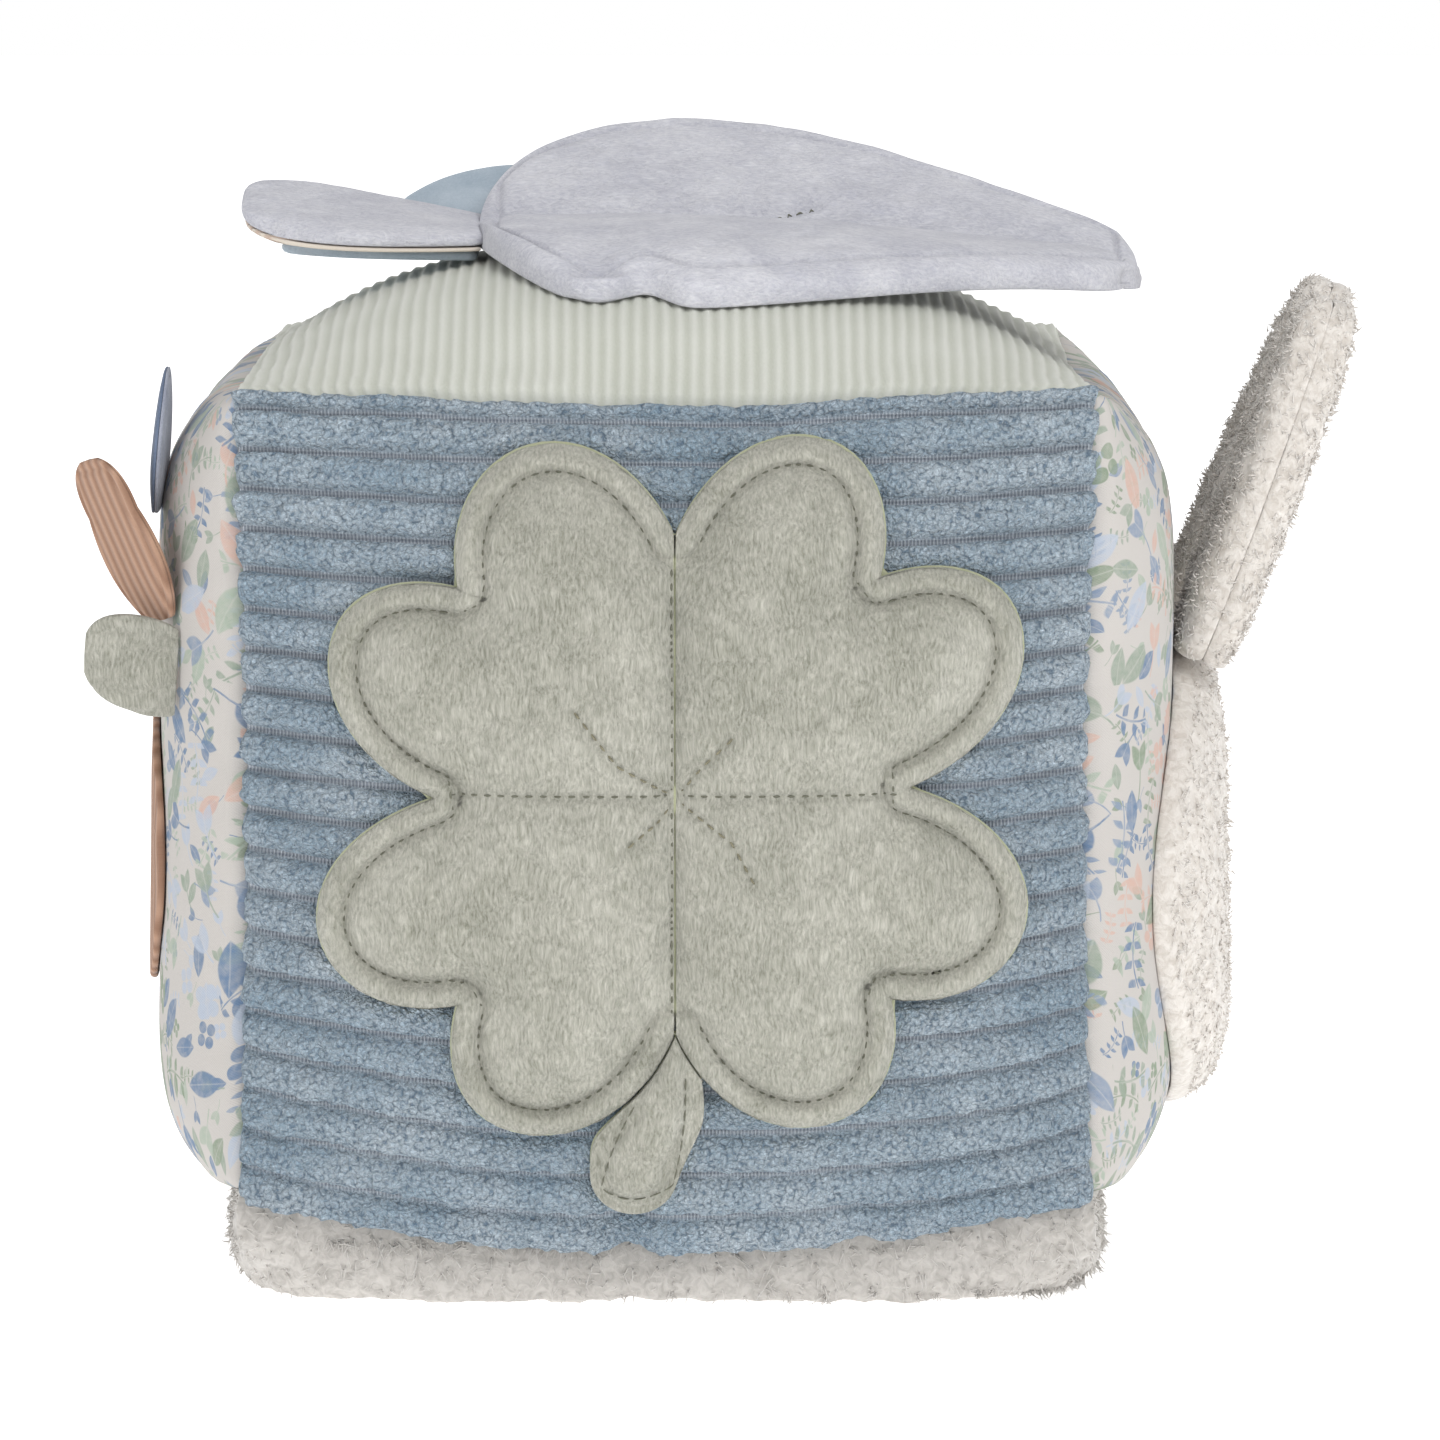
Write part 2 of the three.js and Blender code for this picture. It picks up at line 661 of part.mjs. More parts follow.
const group = new THREE.Group();
group.add(
  fillingCore(),
  frontPanel(),
  plainPanel('back_panel', velvetLavender, 'back'),
  plainPanel('left_panel', printCotton, 'left'),
  plainPanel('right_panel', printCotton, 'right'),
  plainPanel('top_panel', cordSage, 'top'),
  panel('bottom_panel', teddyWhite, 'bottom', seamToSeam, flat(-pileHeight)),
  cloverHalf('clover_left', -1),
  cloverHalf('clover_right', 1),
  cloverStem(),
  birdHalf('bird_front', -1),
  birdHalf('bird_back', 1),
  tail(),
  underTail(),
  wing(),
  patch(),
  leafFlap('leaf_blue', blueLeaf, velvetBlue),
  leafFlap('leaf_peach', peachLeaf, ribPeach),
  leafFlap('leaf_sage', sageLeaf, plushSage),
  ...teddyHead(),
  ear('ear_near', -earSpread, nearEarLean),
  ear('ear_far', earSpread, farEarLean),
);

export default group;
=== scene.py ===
import math
from types import SimpleNamespace
import bmesh
import bpy
import numpy as np
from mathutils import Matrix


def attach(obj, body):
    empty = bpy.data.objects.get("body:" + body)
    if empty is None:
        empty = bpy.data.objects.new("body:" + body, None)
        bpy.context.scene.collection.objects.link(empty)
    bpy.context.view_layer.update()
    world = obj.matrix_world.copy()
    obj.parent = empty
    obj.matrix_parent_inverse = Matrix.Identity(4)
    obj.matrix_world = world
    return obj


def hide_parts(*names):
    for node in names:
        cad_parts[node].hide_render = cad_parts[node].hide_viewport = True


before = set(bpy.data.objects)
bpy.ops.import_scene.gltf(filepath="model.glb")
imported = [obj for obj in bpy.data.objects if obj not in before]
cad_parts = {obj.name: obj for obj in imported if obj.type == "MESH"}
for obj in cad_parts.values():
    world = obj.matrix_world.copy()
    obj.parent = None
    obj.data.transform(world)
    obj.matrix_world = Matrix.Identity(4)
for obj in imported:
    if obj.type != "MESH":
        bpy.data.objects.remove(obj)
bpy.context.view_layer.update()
mm = 0.001

# the stuffed cube's shape in millimetres, as in the CAD part
cube = {
    "halfSpan": 75, "halfHeight": 71, "midLift": 90.5,
    "sideCrown": 17, "frontCrown": 15, "backCrown": 16, "topCrown": 19, "bottomCrown": 24,
    "sideAcross": 4, "sideUp": 7, "frontRound": 3, "topRound": 3, "bottomRound": 8,
    "bottomBow": 4.5, "bowFade": 6, "waistDraw": 1.5,
    "bottomSag": 10, "topSag": 3, "rightSag": 2.5, "backSag": 4.5,
    "pile": 3.5, "pressed": 0.8, "seamDepth": 1.3, "seamRoll": 3.2, "linerDepth": 0.6,
}
layerGap = 0.35  # air between a sewn piece and the cloth under it
bed = 1.15  # top of a pad's backing, over its seat
base = 2.05  # a pad's skin where it has no filling, over its seat


def xyz(*parts):
    return np.stack(np.broadcast_arrays(*parts), -1)


def unit(vectors):
    return vectors / np.maximum(np.linalg.norm(vectors, axis=-1, keepdims=True), 1e-9)


# 1 in the middle and 0 at both ends: one less the size to a power
def bulge(a, power):
    return 1 - np.abs(a) ** power


# from 0 to 1 over a run, as a quarter of a sine
def rise(distance, run):
    return np.sin(np.clip(distance / run, 0, 1) * math.pi / 2)


# root of one less a power of the size, so that a share is left at both ends
def tapered(a, power, left):
    return np.sqrt(np.maximum(1 - (1 - left ** 2) * np.abs(a) ** power, 0))


# bell curve, 1 at no distance
def dent(distance, width):
    return np.exp(-(distance / width) ** 2)


# how far the cloth sags: along the seams low and high, and at the top toward right and back
def seamDip(x, y, z):
    alongSeams = bulge(x, 2) * y ** 2 + bulge(y, 2) * x ** 2
    low, high = ((1 - z) / 2) ** 2, ((1 + z) / 2) ** 2
    right, back = ((1 + x) / 2) ** 2, ((1 + y) / 2) ** 2
    topOnly = cube["rightSag"] * right * bulge(y, 2) + cube["backSag"] * back
    return (cube["bottomSag"] * low + cube["topSag"] * high) * alongSeams + high * topOnly


def waistedHalf(z):
    return cube["halfSpan"] - cube["waistDraw"] * bulge(z, 2)


# a point of the cube: each coordinate times the half size plus a crown, which is a bulge both ways
def blockPoint(x, y, z, depth):
    x, y, z, depth = np.broadcast_arrays(x, y, z, depth)
    half = waistedHalf(z) - depth
    faceCrown = np.where(y < 0, cube["frontCrown"], cube["backCrown"])
    capCrown = np.where(z < 0, cube["bottomCrown"], cube["topCrown"])
    capRound = np.where(z < 0, cube["bottomRound"], cube["topRound"])
    bow = cube["bottomBow"] * ((1 - z) / 2) ** cube["bowFade"] * bulge(y, 2)
    sideBulge = bulge(y, cube["sideAcross"]) * bulge(z, cube["sideUp"])
    outX = x * (half + bow + cube["sideCrown"] * sideBulge)
    outY = y * (half + faceCrown * bulge(x, cube["frontRound"]) * bulge(z, cube["frontRound"]))
    outZ = z * (cube["halfHeight"] - depth + capCrown * bulge(x, capRound) * bulge(y, capRound))
    floor = (depth + cube["pile"]) * cube["pressed"]
    return xyz(outX, outY, np.maximum(cube["midLift"] + outZ - seamDip(x, y, z), floor))


faceOf = {
    "front": lambda a, b: (a, -1.0, b), "back": lambda a, b: (a, 1.0, b),
    "left": lambda a, b: (-1.0, a, b), "right": lambda a, b: (1.0, a, b),
    "top": lambda a, b: (a, b, 1.0), "bottom": lambda a, b: (a, b, -1.0),
}


# undoes the dip and the waist step by step
def skinPoint(face, across, lift, depth):
    a = across / cube["halfSpan"]
    b = (lift - cube["midLift"]) / cube["halfHeight"]
    for turn in range(10):
        a = across / waistedHalf(b)
        b = (lift - cube["midLift"] + seamDip(*faceOf[face](a, b))) / cube["halfHeight"]
    return blockPoint(*faceOf[face](a, b), depth)


# a random value from -1 to 1 for each cell of a lattice
def latticeValue(cell):
    n = (cell[..., 0] * 374761393 + cell[..., 1] * 668265263 + cell[..., 2] * 974634777) & 0xffffffff
    n = ((n ^ (n >> 13)) * 1274126177) & 0xffffffff
    return (n ^ (n >> 16)) / 0x7fffffff - 1


# lattice values smoothly mixed between a cell's eight corners
def noise(points, size, seed=0):
    q = np.asarray(points) / size + seed * 17.31
    cell = np.floor(q).astype(np.int64)
    part = q - cell
    part = part * part * (3 - 2 * part)
    total = np.zeros(q.shape[:-1])
    for corner in range(8):
        step = np.array([corner & 1, corner >> 1 & 1, corner >> 2 & 1])
        total += latticeValue(cell + step) * np.prod(np.where(step == 1, part, 1 - part), -1)
    return total


# noises added up, each half as large and half as strong as the last
def fuzz(points, size, seed=0, octaves=3):
    total = 0
    for turn in range(octaves):
        total = total + noise(points, size / 2 ** turn, seed + turn) / 2 ** turn
    return total / 1.6


def lengthsAlong(line):
    return np.concatenate([[0], np.cumsum(np.linalg.norm(np.diff(line, axis=0), axis=-1))])


def pointsAlong(line, along, places):
    return np.stack([np.interp(places, along, part) for part in line.T], -1)


def evenly(line, count):
    line = np.array(line, float)
    along = lengthsAlong(line)
    return pointsAlong(line, along, np.linspace(0, along[-1], count))


# distance from each point to the nearest point of a line, both flat
def distanceTo(points, line, chunk=4000):
    flat = points.reshape(-1, points.shape[-1])
    found = np.empty(len(flat))
    for start in range(0, len(flat), chunk):
        gaps = flat[start:start + chunk, None] - line[None]
        found[start:start + chunk] = np.sqrt((gaps ** 2).sum(-1).min(1))
    return found.reshape(points.shape[:-1])


def makeMesh(name, points, quads, tris=None, uv=None, values=None):
    corners = quads.ravel()
    counts = np.full(len(quads), 4)
    if tris is not None:
        corners = np.concatenate([corners, tris.ravel()])
        counts = np.concatenate([counts, np.full(len(tris), 3)])
    mesh = bpy.data.meshes.new(name)
    mesh.vertices.add(len(points))
    mesh.vertices.foreach_set("co", (points * mm).astype(np.float32).ravel())
    mesh.loops.add(len(corners))
    mesh.loops.foreach_set("vertex_index", corners.astype(np.int32))
    mesh.polygons.add(len(counts))
    mesh.polygons.foreach_set("loop_start", (np.cumsum(counts) - counts).astype(np.int32))
    mesh.update(calc_edges=True)
    if uv is not None:
        mesh.uv_layers.new(name="cloth")
        mesh.uv_layers["cloth"].uv.foreach_set("vector", uv[corners].astype(np.float32).ravel())
    for key, value in (values or {}).items():
        mesh.attributes.new(key, "FLOAT", "POINT").data.foreach_set("value", value.astype(np.float32))
    mesh.polygons.foreach_set("use_smooth", np.ones(len(counts), bool))
    return mesh


def addObject(name, data):
    obj = bpy.data.objects.new(name, data)
    bpy.context.scene.collection.objects.link(obj)
    return obj


def addPiece(name, mesh, material, body, replaced=(), weld=True):
    if weld:
        work = bmesh.new()
        work.from_mesh(mesh)
        bmesh.ops.remove_doubles(work, verts=work.verts, dist=2e-6)
        bmesh.ops.dissolve_degenerate(work, edges=work.edges, dist=1e-7)
        bmesh.ops.recalc_face_normals(work, faces=work.faces)
        work.to_mesh(mesh)
        work.free()
    obj = addObject(name, mesh)
    mesh.materials.append(material)
    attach(obj, body)
    if replaced:
        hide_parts(*replaced)
    return obj


def gridQuads(rows, cols):
    index = np.arange(rows * cols).reshape(rows, cols)
    return np.stack([index[:-1, :-1], index[1:, :-1], index[1:, 1:], index[:-1, 1:]], -1).reshape(-1, 4)


# the closed line round a grid's edge
def around(grid):
    return np.concatenate([grid[0, :-1], grid[:-1, -1], grid[-1, :0:-1], grid[:0:-1, 0]])


def wallQuads(lines):
    pairs = zip(lines[:-1], lines[1:])
    return [np.stack([above, np.roll(above, -1), np.roll(below, -1), below], -1) for above, below in pairs]


# closed body between two grids: their rims are joined by rows that run round half an ellipse
def slabMesh(name, outer, inner, roundness=0.8, rimSteps=4, uv=None):
    rows, cols = outer.shape[:2]
    size = rows * cols
    index = np.arange(size).reshape(rows, cols)
    rim = around(index)
    nextIn = around(np.pad(index[1:-1, 1:-1], 1, mode="edge"))
    flatOuter, flatInner = outer.reshape(-1, 3), inner.reshape(-1, 3)
    middle = (flatOuter[rim] + flatInner[rim]) / 2
    up = (flatOuter[rim] - flatInner[rim]) / 2
    away = unit(flatOuter[rim] - flatOuter[nextIn])
    reach = np.linalg.norm(up, axis=-1, keepdims=True) * roundness
    turns = [math.pi * step / rimSteps for step in range(1, rimSteps)]
    rings = [middle + up * math.cos(turn) + away * reach * math.sin(turn) for turn in turns]
    points = np.concatenate([flatOuter, flatInner] + rings)
    between = [2 * size + len(rim) * k + np.arange(len(rim)) for k in range(rimSteps - 1)]
    flatQuads = gridQuads(rows, cols)
    walls = wallQuads([rim] + between + [rim + size])
    quads = np.concatenate([flatQuads, flatQuads[:, ::-1] + size] + walls)
    a, b, c, d = (points[quads[:, k]] for k in range(4))
    if np.sum(a * np.cross(b, c)) + np.sum(a * np.cross(c, d)) < 0:
        quads = quads[:, ::-1]
    if uv is not None:
        flat = uv.reshape(-1, 2)
        uv = np.concatenate([flat, flat] + [flat[rim]] * (rimSteps - 1))
    return makeMesh(name, points, quads, uv=uv)


def addSlab(name, outer, inner, material, body, nodes, slot, **shape):
    return addPiece(name, slabMesh(name, outer, inner, **shape), material, body, nodes)


# a grid's first axis stretched to more rows, straight between the picked ones
def stretched(grid, picked, count):
    lines = grid.reshape(len(picked), -1).T
    rows = np.stack([np.interp(np.arange(count), picked, line) for line in lines], -1)
    return rows.reshape(count, *grid.shape[1:])


clothRun = {
    "scale": 10, "every": 3, "frames": 20, "pinnedShare": 0.3, "smoothing": 2,
    "settings": {
        "quality": 6, "mass": 0.05, "tension_stiffness": 12, "compression_stiffness": 12,
        "shear_stiffness": 4, "bending_stiffness": 0.08, "use_pressure": True,
    },
}


# cloth simulation of a pad's skin, run at ten times its size on every third point; pinned points stay
# where they are. What it gives back is how far each point of the full grid moved, no more than the cap
def swollen(outer, inner, pinned, pressure, grow, cap):
    rows, cols = outer.shape[:2]
    rowPick = np.unique(np.append(np.arange(0, rows, clothRun["every"]), rows - 1))
    colPick = np.unique(np.append(np.arange(0, cols, clothRun["every"]), cols - 1))
    picked = np.ix_(rowPick, colPick)
    coarse = outer[picked]
    scale = clothRun["scale"]
    mesh = slabMesh("simulated", coarse * scale, inner[picked] * scale, roundness=0, rimSteps=2)
    obj = addObject("simulated", mesh)
    size = len(rowPick) * len(colPick)
    group = obj.vertex_groups.new(name="pinned")
    held = np.flatnonzero(pinned[picked].ravel()).tolist() + list(range(size, len(mesh.vertices)))
    group.add(held, 1, "REPLACE")
    cloth = obj.modifiers.new("cloth", "CLOTH")
    for key, value in clothRun["settings"].items():
        setattr(cloth.settings, key, value)
    cloth.settings.uniform_pressure_force = pressure
    cloth.settings.vertex_group_mass = "pinned"
    cloth.settings.shrink_min = -grow
    cloth.settings.effector_weights.gravity = 0
    cloth.collision_settings.use_collision = False
    for step in range(clothRun["frames"]):
        bpy.context.scene.frame_set(step + 1)
    shape = obj.evaluated_get(bpy.context.evaluated_depsgraph_get()).to_mesh()
    found = np.empty(len(shape.vertices) * 3, np.float32)
    shape.vertices.foreach_get("co", found)
    moved = found.reshape(-1, 3)[:size] / (scale * mm) - coarse.reshape(-1, 3)
    bpy.context.scene.frame_set(1)
    bpy.data.objects.remove(obj)
    far = np.linalg.norm(moved, axis=-1, keepdims=True)
    moved = (moved * np.minimum(1, cap / np.maximum(far, 1e-6))).reshape(coarse.shape)
    full = stretched(stretched(moved, rowPick, rows).swapaxes(0, 1), colPick, cols).swapaxes(0, 1)
    for turn in range(clothRun["smoothing"]):
        full[1:-1] = (full[:-2] + 2 * full[1:-1] + full[2:]) / 4
        full[:, 1:-1] = (full[:, :-2] + 2 * full[:, 1:-1] + full[:, 2:]) / 4
    full[pinned] *= clothRun["pinnedShare"]
    return full


def ringPoints(centre, thick, side, other, sides):
    angles = [2 * math.pi * turn / sides for turn in range(sides)]
    return [centre + thick * (side * math.cos(angle) + other * math.sin(angle)) for angle in angles]


def tubeQuads(rings, sides):
    quads = []
    for start in range(0, (rings - 1) * sides, sides):
        for turn in range(sides):
            after = (turn + 1) % sides
            quads.append([start + turn, start + after, start + sides + after, start + sides + turn])
    return quads


def repeated(faces, count, step):
    faces = np.array(faces)
    return (faces[None] + (np.arange(count) * step)[:, None, None]).reshape(-1, faces.shape[1])


fibre = {
    "lean": 1.6, "sunk": 0.3, "scatter": 0.35, "clumpSize": 3.2, "clumping": 0.9, "stray": 0.55,
    "shortest": 0.55, "longest": 1.1, "thinning": 0.55, "lowest": 0.1,
}


# strands: a thin three-sided taper along a bent path, root in the cloth and a point at its end.
# Each grid of cloth comes with one that lies inside it, which says where outward is
def addStrands(name, grids, count, length, radius, seed, material, body, comb=(0, 0, 0)):
    f = fibre
    rng = np.random.default_rng(seed)
    roots, outs, areas = [], [], []
    for grid, inside in grids:
        cross = np.cross(grid[1:, 1:] - grid[:-1, :-1], grid[1:, :-1] - grid[:-1, 1:])
        areas.append(np.linalg.norm(cross, axis=-1).ravel() / 2)
        spot = (grid[1:, 1:] + grid[:-1, :-1]) / 2
        outward = np.sum(cross * (spot - (inside[1:, 1:] + inside[:-1, :-1]) / 2), -1, keepdims=True)
        roots.append(spot.reshape(-1, 3))
        outs.append(unit(cross * np.where(outward < 0, -1, 1)).reshape(-1, 3))
    areas, roots, outs = (np.concatenate(parts) for parts in (areas, roots, outs))
    pick = rng.choice(len(areas), count, p=areas / areas.sum())
    normal = outs[pick]
    root = roots[pick] + rng.normal(0, f["scatter"], (count, 3)) - f["sunk"] * normal
    clump = np.stack([noise(root, f["clumpSize"], seed + k) for k in range(3)], -1)
    bend = clump * f["clumping"] + rng.normal(0, f["stray"], (count, 3)) + np.array(comb)
    bend -= normal * np.sum(bend * normal, -1, keepdims=True)
    tall = length * rng.uniform(f["shortest"], f["longest"], (count, 1)) * (1 + 0.35 * clump[:, :1])
    side = unit(np.cross(normal, bend + 1e-3))
    other = np.cross(normal, side)
    points = []
    for share in (0, 0.45, 0.8):
        centre = root + normal * tall * share + bend * tall * f["lean"] * share ** 2
        points += ringPoints(centre, radius * (1 - f["thinning"] * share), side, other, 3)
    points.append(root + normal * tall * 0.98 + bend * tall * f["lean"] * 1.15)
    points = np.stack(points, 1)
    points[..., 2] = np.maximum(points[..., 2], f["lowest"])  # never under the floor
    tris = repeated([[6, 7, 9], [7, 8, 9], [8, 6, 9], [2, 1, 0]], count, 10)
    mesh = makeMesh(name, points.reshape(-1, 3), repeated(tubeQuads(3, 3), count, 10), tris)
    addPiece(name, mesh, material, body, [], weld=False)


# stitches: small capsules, each laid between two points of a line and a little sunk at its ends
def addStitches(name, line, outward, material, body, dash=2.1, gap=0.7, radius=0.2, lift=0.05, sunk=0.25):
    along = lengthsAlong(line)
    count = max(int(along[-1] / (dash + gap)), 1)
    rings = np.linspace(0, 1, 6)
    places = ((np.arange(count) + 0.15) * along[-1] / count)[:, None] + dash * rings[None]
    centre = pointsAlong(line, along, places)
    normal = np.broadcast_to(np.array(outward, float), centre.shape)
    ahead = centre[:, -1:] - centre[:, :1]
    ahead /= np.linalg.norm(ahead, axis=-1, keepdims=True)
    arch = np.sin(np.pi * rings)[None, :, None]
    centre = centre + normal * (lift + sunk) * arch - normal * sunk
    thick = radius * np.sqrt(np.maximum(np.sin(np.pi * np.clip(rings, 0.06, 0.94)), 0))[None, :, None]
    points = np.stack(ringPoints(centre, thick, np.cross(normal, ahead), normal, 6), 2).reshape(-1, 3)
    caps = [[0, 3, 2, 1], [0, 5, 4, 3], [30, 31, 32, 33], [30, 33, 34, 35]]
    mesh = makeMesh(name, points, repeated(tubeQuads(6, 6) + caps, count, 36))
    addPiece(name, mesh, material, body, weld=False)


def color(code):
    value = np.array([int(code[k:k + 2], 16) for k in (1, 3, 5)]) / 255
    linear = np.where(value <= 0.04045, value / 12.92, ((value + 0.055) / 1.055) ** 2.4)
    return (*linear.tolist(), 1)


# short calls that each add one shader node to a tree
def nodeTools(tree):
    def add(kind, values=None, **settings):
        node = tree.nodes.new(kind)
        for key, value in settings.items():
            setattr(node, key, value)
        for key, value in (values or {}).items():
            if isinstance(value, bpy.types.NodeSocket):
                tree.links.new(value, node.inputs[key])
            else:
                node.inputs[key].default_value = value
        return node

    def calc(operation, *parts, clamp=False):
        values = dict(enumerate(parts))
        return add("ShaderNodeMath", values, operation=operation, use_clamp=clamp).outputs[0]

    def times(a, b, clamp=False):
        return calc("MULTIPLY", a, b, clamp=clamp)

    def plus(a, b):
        return calc("ADD", a, b)

    def minus(a, b):
        return calc("SUBTRACT", a, b)

    # a times b, plus c
    def timesPlus(a, b, c, clamp=False):
        return calc("MULTIPLY_ADD", a, b, c, clamp=clamp)

    # sine of a length, one turn per pitch
    def waves(a, pitch):
        return calc("SINE", times(a, 2 * math.pi / pitch))

    def vector(operation, a, b):
        key = "Scale" if operation == "SCALE" else 1
        return add("ShaderNodeVectorMath", {0: a, key: b}, operation=operation).outputs[0]

    def place():
        return add("ShaderNodeTexCoord").outputs["Object"]

    def placeMm():
        return vector("SCALE", place(), 1000)

    def clothMm():
        return add("ShaderNodeUVMap", uv_map="cloth").outputs[0]

    def split(a):
        return add("ShaderNodeSeparateXYZ", {0: a}).outputs

    def attribute(name):
        return add("ShaderNodeAttribute", attribute_name=name).outputs["Fac"]

    def grain(a, scale, detail=2, roughness=0.5, distortion=0, output=0):
        values = {"Vector": a, "Scale": scale, "Detail": detail}
        values.update({"Roughness": roughness, "Distortion": distortion})
        return add("ShaderNodeTexNoise", values).outputs[output]

    # from 0 at the low end to 1 at the high end
    def spread(value, low, high):
        return add("ShaderNodeMapRange", {0: value, 1: low, 2: high}, clamp=True).outputs[0]

    def mix(factor, a, b):
        return add("ShaderNodeMix", {0: factor, 6: a, 7: b}, data_type="RGBA").outputs[2]

    return SimpleNamespace(
        add=add, calc=calc, times=times, plus=plus, minus=minus, timesPlus=timesPlus, waves=waves,
        vector=vector, place=place, placeMm=placeMm, clothMm=clothMm, split=split, attribute=attribute,
        grain=grain, spread=spread, mix=mix)


def newGroup(name, inputs, outputs):
    group = bpy.data.node_groups.new(name, "ShaderNodeTree")
    for key, kind, value in inputs:
        socket = group.interface.new_socket(key, in_out="INPUT", socket_type="NodeSocket" + kind)
        if value is not None:
            socket.default_value = value
    for key in outputs:
        group.interface.new_socket(key, in_out="OUTPUT", socket_type="NodeSocketFloat")
    return group, nodeTools(group)


def closeGroup(group, n, results):
    out = n.add("NodeGroupOutput")
    for key, socket in results.items():
        group.links.new(socket, out.inputs[key])
    return group


# brushed pile: patches are a large noise; streaks are a noise of the place times the nap, bent by a
# coarse noise; the height is 0.65 of the streaks and 0.35 of a finer noise of the same place
def brushedPileGroup():
    inputs = [("Nap", "Vector", (1, 1, 1)), ("Patch size", "Float", 12), ("Streak", "Float", 1)]
    group, n = newGroup("brushedPile", inputs, ["Patches", "Streaks", "Height"])
    given = n.add("NodeGroupInput").outputs
    place = n.placeMm()
    patches = n.grain(place, n.calc("DIVIDE", 1, given["Patch size"]), 3, 0.6, 0.4)
    bent = n.vector("SCALE", n.grain(place, 0.2, 1, output="Color"), 2.5)
    moved = n.vector("ADD", n.vector("MULTIPLY", place, given["Nap"]), bent)
    streaks = n.grain(moved, n.times(given["Streak"], 1.5), 4, 0.65)
    height = n.timesPlus(n.grain(moved, 5, 2, 0.7), 0.35, n.times(streaks, 0.65))
    return closeGroup(group, n, {"Patches": patches, "Streaks": streaks, "Height": height})


brushedPile = brushedPileGroup()


def newMaterial(name, sheen=0.25, roughness=0.9):
    material = bpy.data.materials.new(name)
    material.use_nodes = True
    shader = material.node_tree.nodes["Principled BSDF"]
    shader.inputs["Roughness"].default_value = roughness
    shader.inputs["Specular IOR Level"].default_value = 0.2
    shader.inputs["Sheen Weight"].default_value = sheen
    shader.inputs["Sheen Roughness"].default_value = 0.45
    return material, shader, nodeTools(material.node_tree)


# joins the colour and a bump of the height, in mm, to the shader
def cover(shader, n, tint, height, strength, depth):
    links = shader.id_data.links
    bump = n.add("ShaderNodeBump", {"Height": height, "Strength": strength, "Distance": depth * mm})
    links.new(tint, shader.inputs["Base Color"])
    links.new(bump.outputs[0], shader.inputs["Normal"])


# a mix from dark to light by a share of the patches, the contrast, and the rest of the streaks
def pileMaterial(name, dark, light, nap=(1, 1, 1), patch=12, streak=1, depth=0.5, contrast=0.5):
    material, shader, n = newMaterial(name)
    pile = n.add("ShaderNodeGroup", node_tree=brushedPile)
    for key, value in (("Nap", nap), ("Patch size", patch), ("Streak", streak)):
        pile.inputs[key].default_value = value
    patches = n.spread(pile.outputs["Patches"], 0.35, 0.68)
    streaks = n.spread(pile.outputs["Streaks"], 0.3, 0.7)
    shade = n.timesPlus(patches, contrast, n.times(streaks, 1 - contrast))
    cover(shader, n, n.mix(shade, color(dark), color(light)), pile.outputs["Height"], 0.8, depth)
    return material


plushSage = pileMaterial(
    "plushSage", "#858677", "#d7d5ca", nap=(1.6, 1, 0.45), patch=15, streak=0.95, depth=1.6, contrast=0.25)
velvetLavender = pileMaterial(
    "velvetLavender", "#bcbdca", "#f0f0f5", nap=(0.6, 1.4, 1.4), patch=13, depth=1.1, contrast=0.35)
velvetBlue = pileMaterial(
    "velvetBlue", "#98a7b4", "#bac5cf", nap=(1.2, 1.4, 1.4), streak=1.2, depth=0.2, contrast=0.6)
velvetSlate = pileMaterial(
    "velvetSlate", "#8b91a3", "#b4b8c4", nap=(1.4, 1.4, 1.4), patch=9, streak=1.2, depth=0.3)
velvetNavy = pileMaterial(
    "velvetNavy", "#4d5b74", "#76839a", nap=(1.4, 1.4, 1.4), streak=1.2, depth=0.2, contrast=0.6)
sageBacking = pileMaterial(
    "sageBacking", "#9fa284", "#b9bc9f", patch=8, streak=1.8, depth=0.2, contrast=0.35)


# wide corduroy: on the wales a blue from two tones, darker with the distance of smooth cells and lighter
# at the tips of a fine noise; in the valleys a grey ground shaded by two sines that cross
def corduroyMaterial():
    material, shader, n = newMaterial("corduroyBlue", 0.22, 0.95)
    place = n.placeMm()
    bent = n.vector("SCALE", n.grain(place, 0.9, output="Color"), 1.6)
    curled = n.vector("ADD", place, bent)
    cells = {"Vector": curled, "Scale": 1.35, "Smoothness": 0.15}
    curls = n.add("ShaderNodeTexVoronoi", cells, feature="SMOOTH_F1").outputs["Distance"]
    fine = n.grain(curled, 2.2, 3, 0.7)
    onWale = n.spread(n.attribute("wale"), 0.12, 0.4)
    waleColor = n.mix(n.spread(n.grain(place, 0.07), 0.3, 0.7), color("#a6bed0"), color("#cfdde8"))
    waleColor = n.mix(n.times(n.spread(curls, 0.38, 0.85), 0.9), waleColor, color("#61798f"))
    waleColor = n.mix(n.times(n.spread(fine, 0.5, 0.72), 0.55), waleColor, color("#dfe8f0"))
    x, y, z = n.split(place)
    twill = n.timesPlus(n.waves(x, 0.62), 0.35, n.timesPlus(n.waves(z, 0.8), 0.15, 0.5))
    groundColor = n.mix(twill, color("#858e9b"), color("#cdd4dc"))
    curlHeight = n.minus(n.times(fine, 0.6), n.times(curls, 1.1))
    groundHeight = n.times(twill, n.times(n.minus(1, onWale), 0.25))
    height = n.plus(n.times(curlHeight, onWale), groundHeight)
    cover(shader, n, n.mix(onWale, groundColor, waleColor), height, 1.0, 1.8)
    return material


